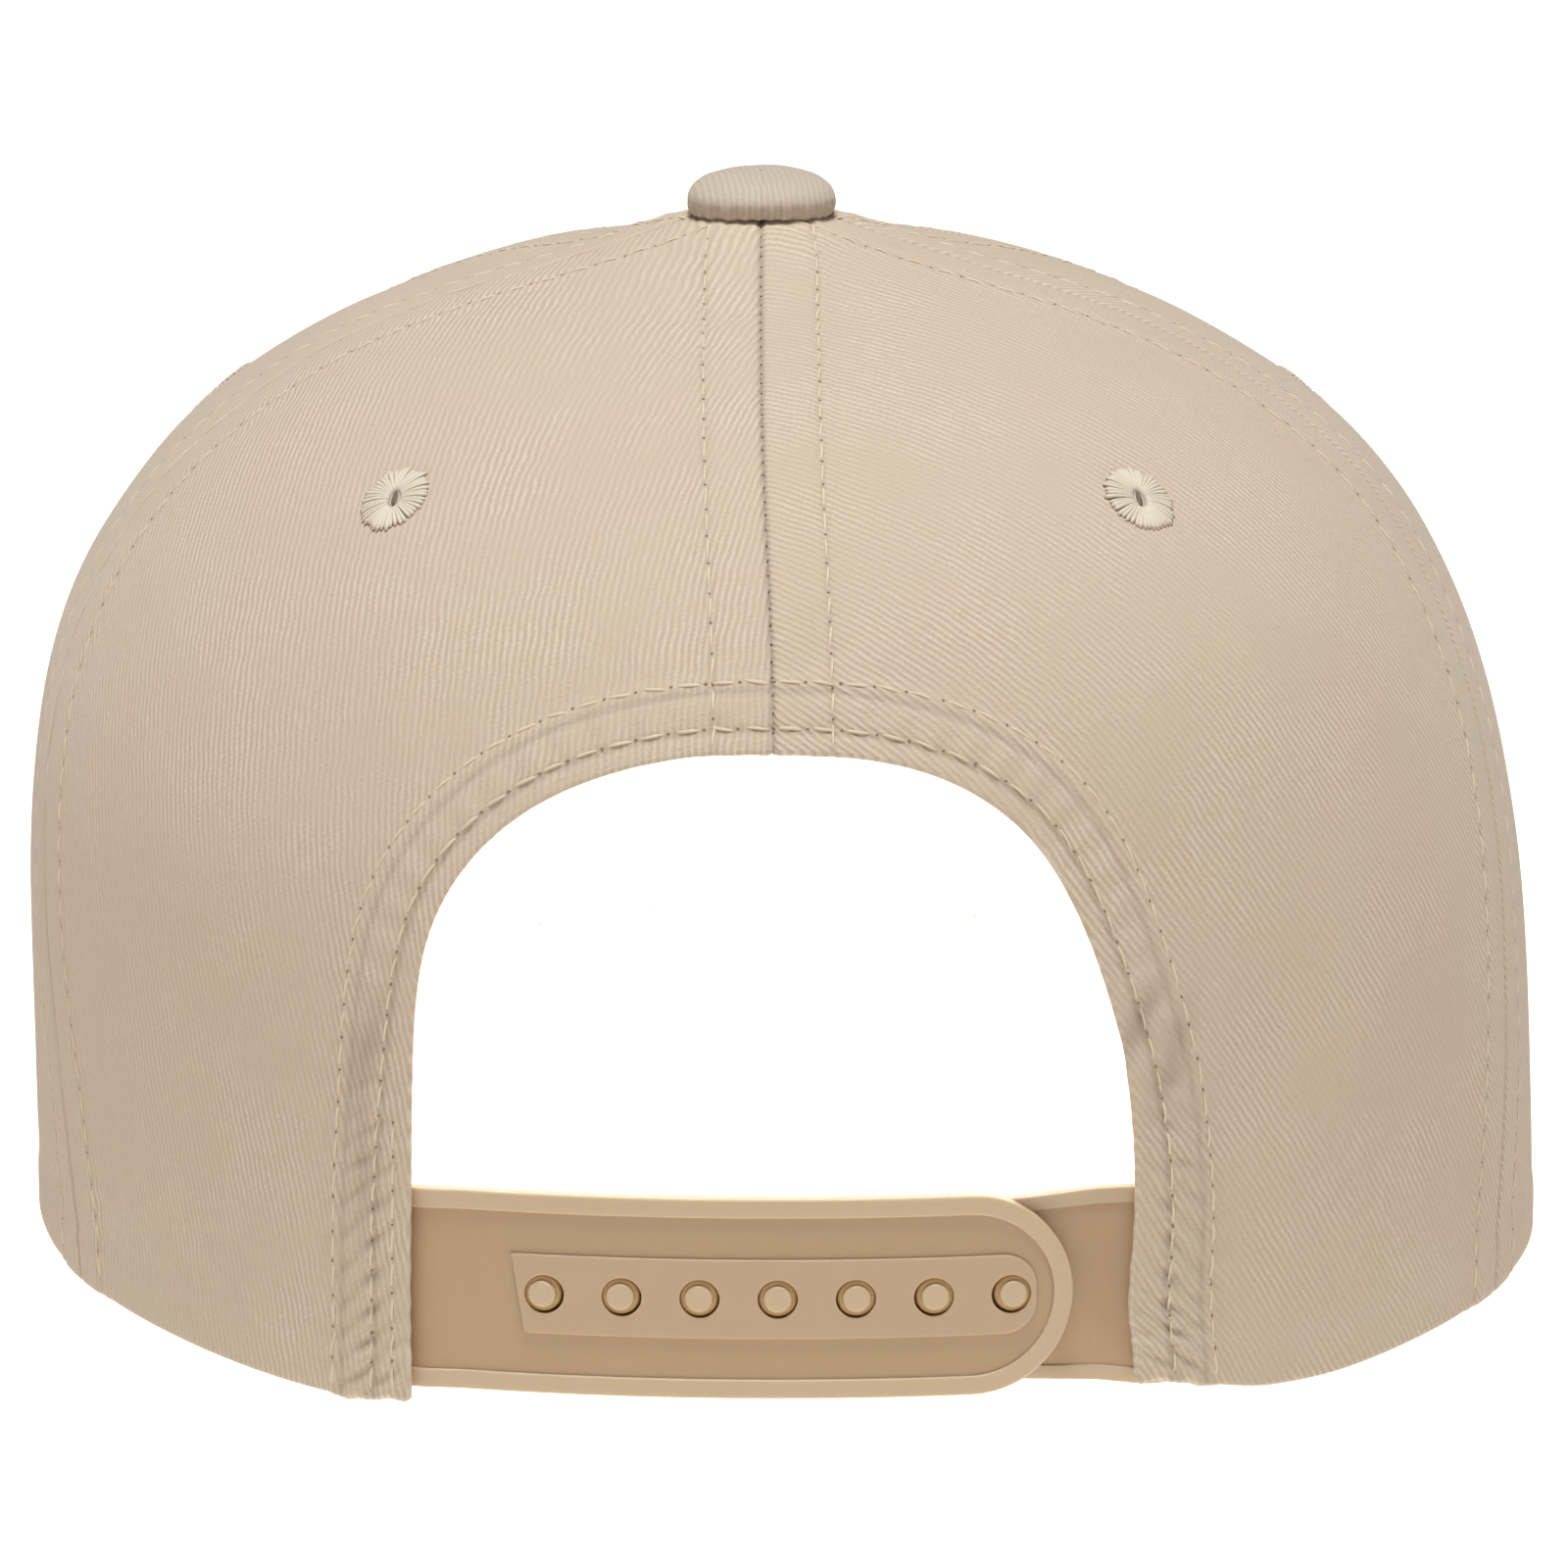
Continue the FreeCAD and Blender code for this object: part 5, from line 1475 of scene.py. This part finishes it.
def boss_outline():
    half, reach, round_end = 0.5 * BOSS_HEIGHT, 30 * MM, 3.9 * MM
    upper = arc_points((-reach + round_end, half - round_end), round_end, 90, 180, 16)
    lower = arc_points((-reach + round_end, -half + round_end), round_end, 180, 270, 16)
    return dense(np.concatenate([[(reach + 0.9 * MM, half)], upper, lower, [(reach - 0.6 * MM, -half)]]))


# ---- everything in place --------------------------------------------------------------------------------

def paint(node, material):
    piece = bpy.data.objects[node] if node in bpy.data.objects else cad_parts[node]
    piece.data.materials.clear()
    piece.data.materials.append(material)


def add_crown():
    for panel in PANEL_SEAMS:
        for side, sign in SIDES:
            add_panel(panel, side, sign)
    add_seam_topstitching()
    add_arch_topstitching()


add_crown()
add_buckram()
add_tapes()
add_facing()
add_sweatband()
add_visor()
add_button()
for number, panel in enumerate(EYELETS):
    for side, sign in SIDES:
        add_eyelet(panel, side, sign, 800 + 10 * number + sign)
add_straps()
paint("visor_board", BOARD)


# ---- floor, light and camera ----------------------------------------------------------------------------

RIM_SAG = 1.6 * MM


def add_stage():
    g = Graph("pale_floor")
    g.set(Base_Color=(0.3, 0.3, 0.3, 1), Roughness=0.9, Emission_Color=(1, 0.95, 0.88, 1),
          Emission_Strength=1.12)
    mesh = bpy.data.meshes.new("floor")
    reach = 6.0
    floor_z = cad_box[0].z - RIM_SAG
    mesh.from_pydata([(-reach, -reach, floor_z), (reach, -reach, floor_z), (reach, reach, floor_z),
                      (-reach, reach, floor_z)], [], [(0, 1, 2, 3)])
    mesh.materials.append(g.material)
    link(bpy.data.objects.new("floor", mesh))
    world = bpy.data.worlds.new("studio")
    world.use_nodes = True
    world.node_tree.nodes["Background"].inputs["Color"].default_value = (1, 1, 1, 1)
    world.node_tree.nodes["Background"].inputs["Strength"].default_value = 0.1
    bpy.context.scene.world = world


def add_light(name, place, target, width, power, colour=WHITE):
    light = bpy.data.lights.new(name, "AREA")
    light.color = colour
    light.shape = "DISK"
    light.size = width
    light.energy = power
    lamp = link(bpy.data.objects.new(name, light))
    lamp.location = place
    lamp.rotation_euler = (Vector(target) - Vector(place)).to_track_quat("-Z", "Y").to_euler()


def add_camera():
    """Straight behind the cap, a little above it."""
    distance, rise = 1.3, math.radians(14.78)
    aim = Vector((-0.72 * MM, 0, 52.1 * MM))
    camera = link(bpy.data.objects.new("camera", bpy.data.cameras.new("camera")))
    camera.location = aim + distance * Vector((0, math.cos(rise), math.sin(rise)))
    camera.rotation_euler = (aim - camera.location).to_track_quat("-Z", "Y").to_euler()
    camera.data.lens = 244.5
    camera.data.sensor_width = 36.0
    bpy.context.scene.camera = camera


add_stage()
add_light("top_softbox", (0.02, 0.3, 1.7), (0, 0, 0.05), 0.6, 30.0, (0.97, 0.99, 1.0))
add_light("front_fill", (-0.3, 1.6, 0.5), (0, 0, 0.05), 0.9, 0.4)
add_light("inside_fill", (0, 0.02, 0.06), (0, -0.1, 0.03), 0.1, 0.3)
bpy.data.objects["inside_fill"].visible_camera = False
add_camera()
bpy.context.scene.view_settings.view_transform = "Standard"
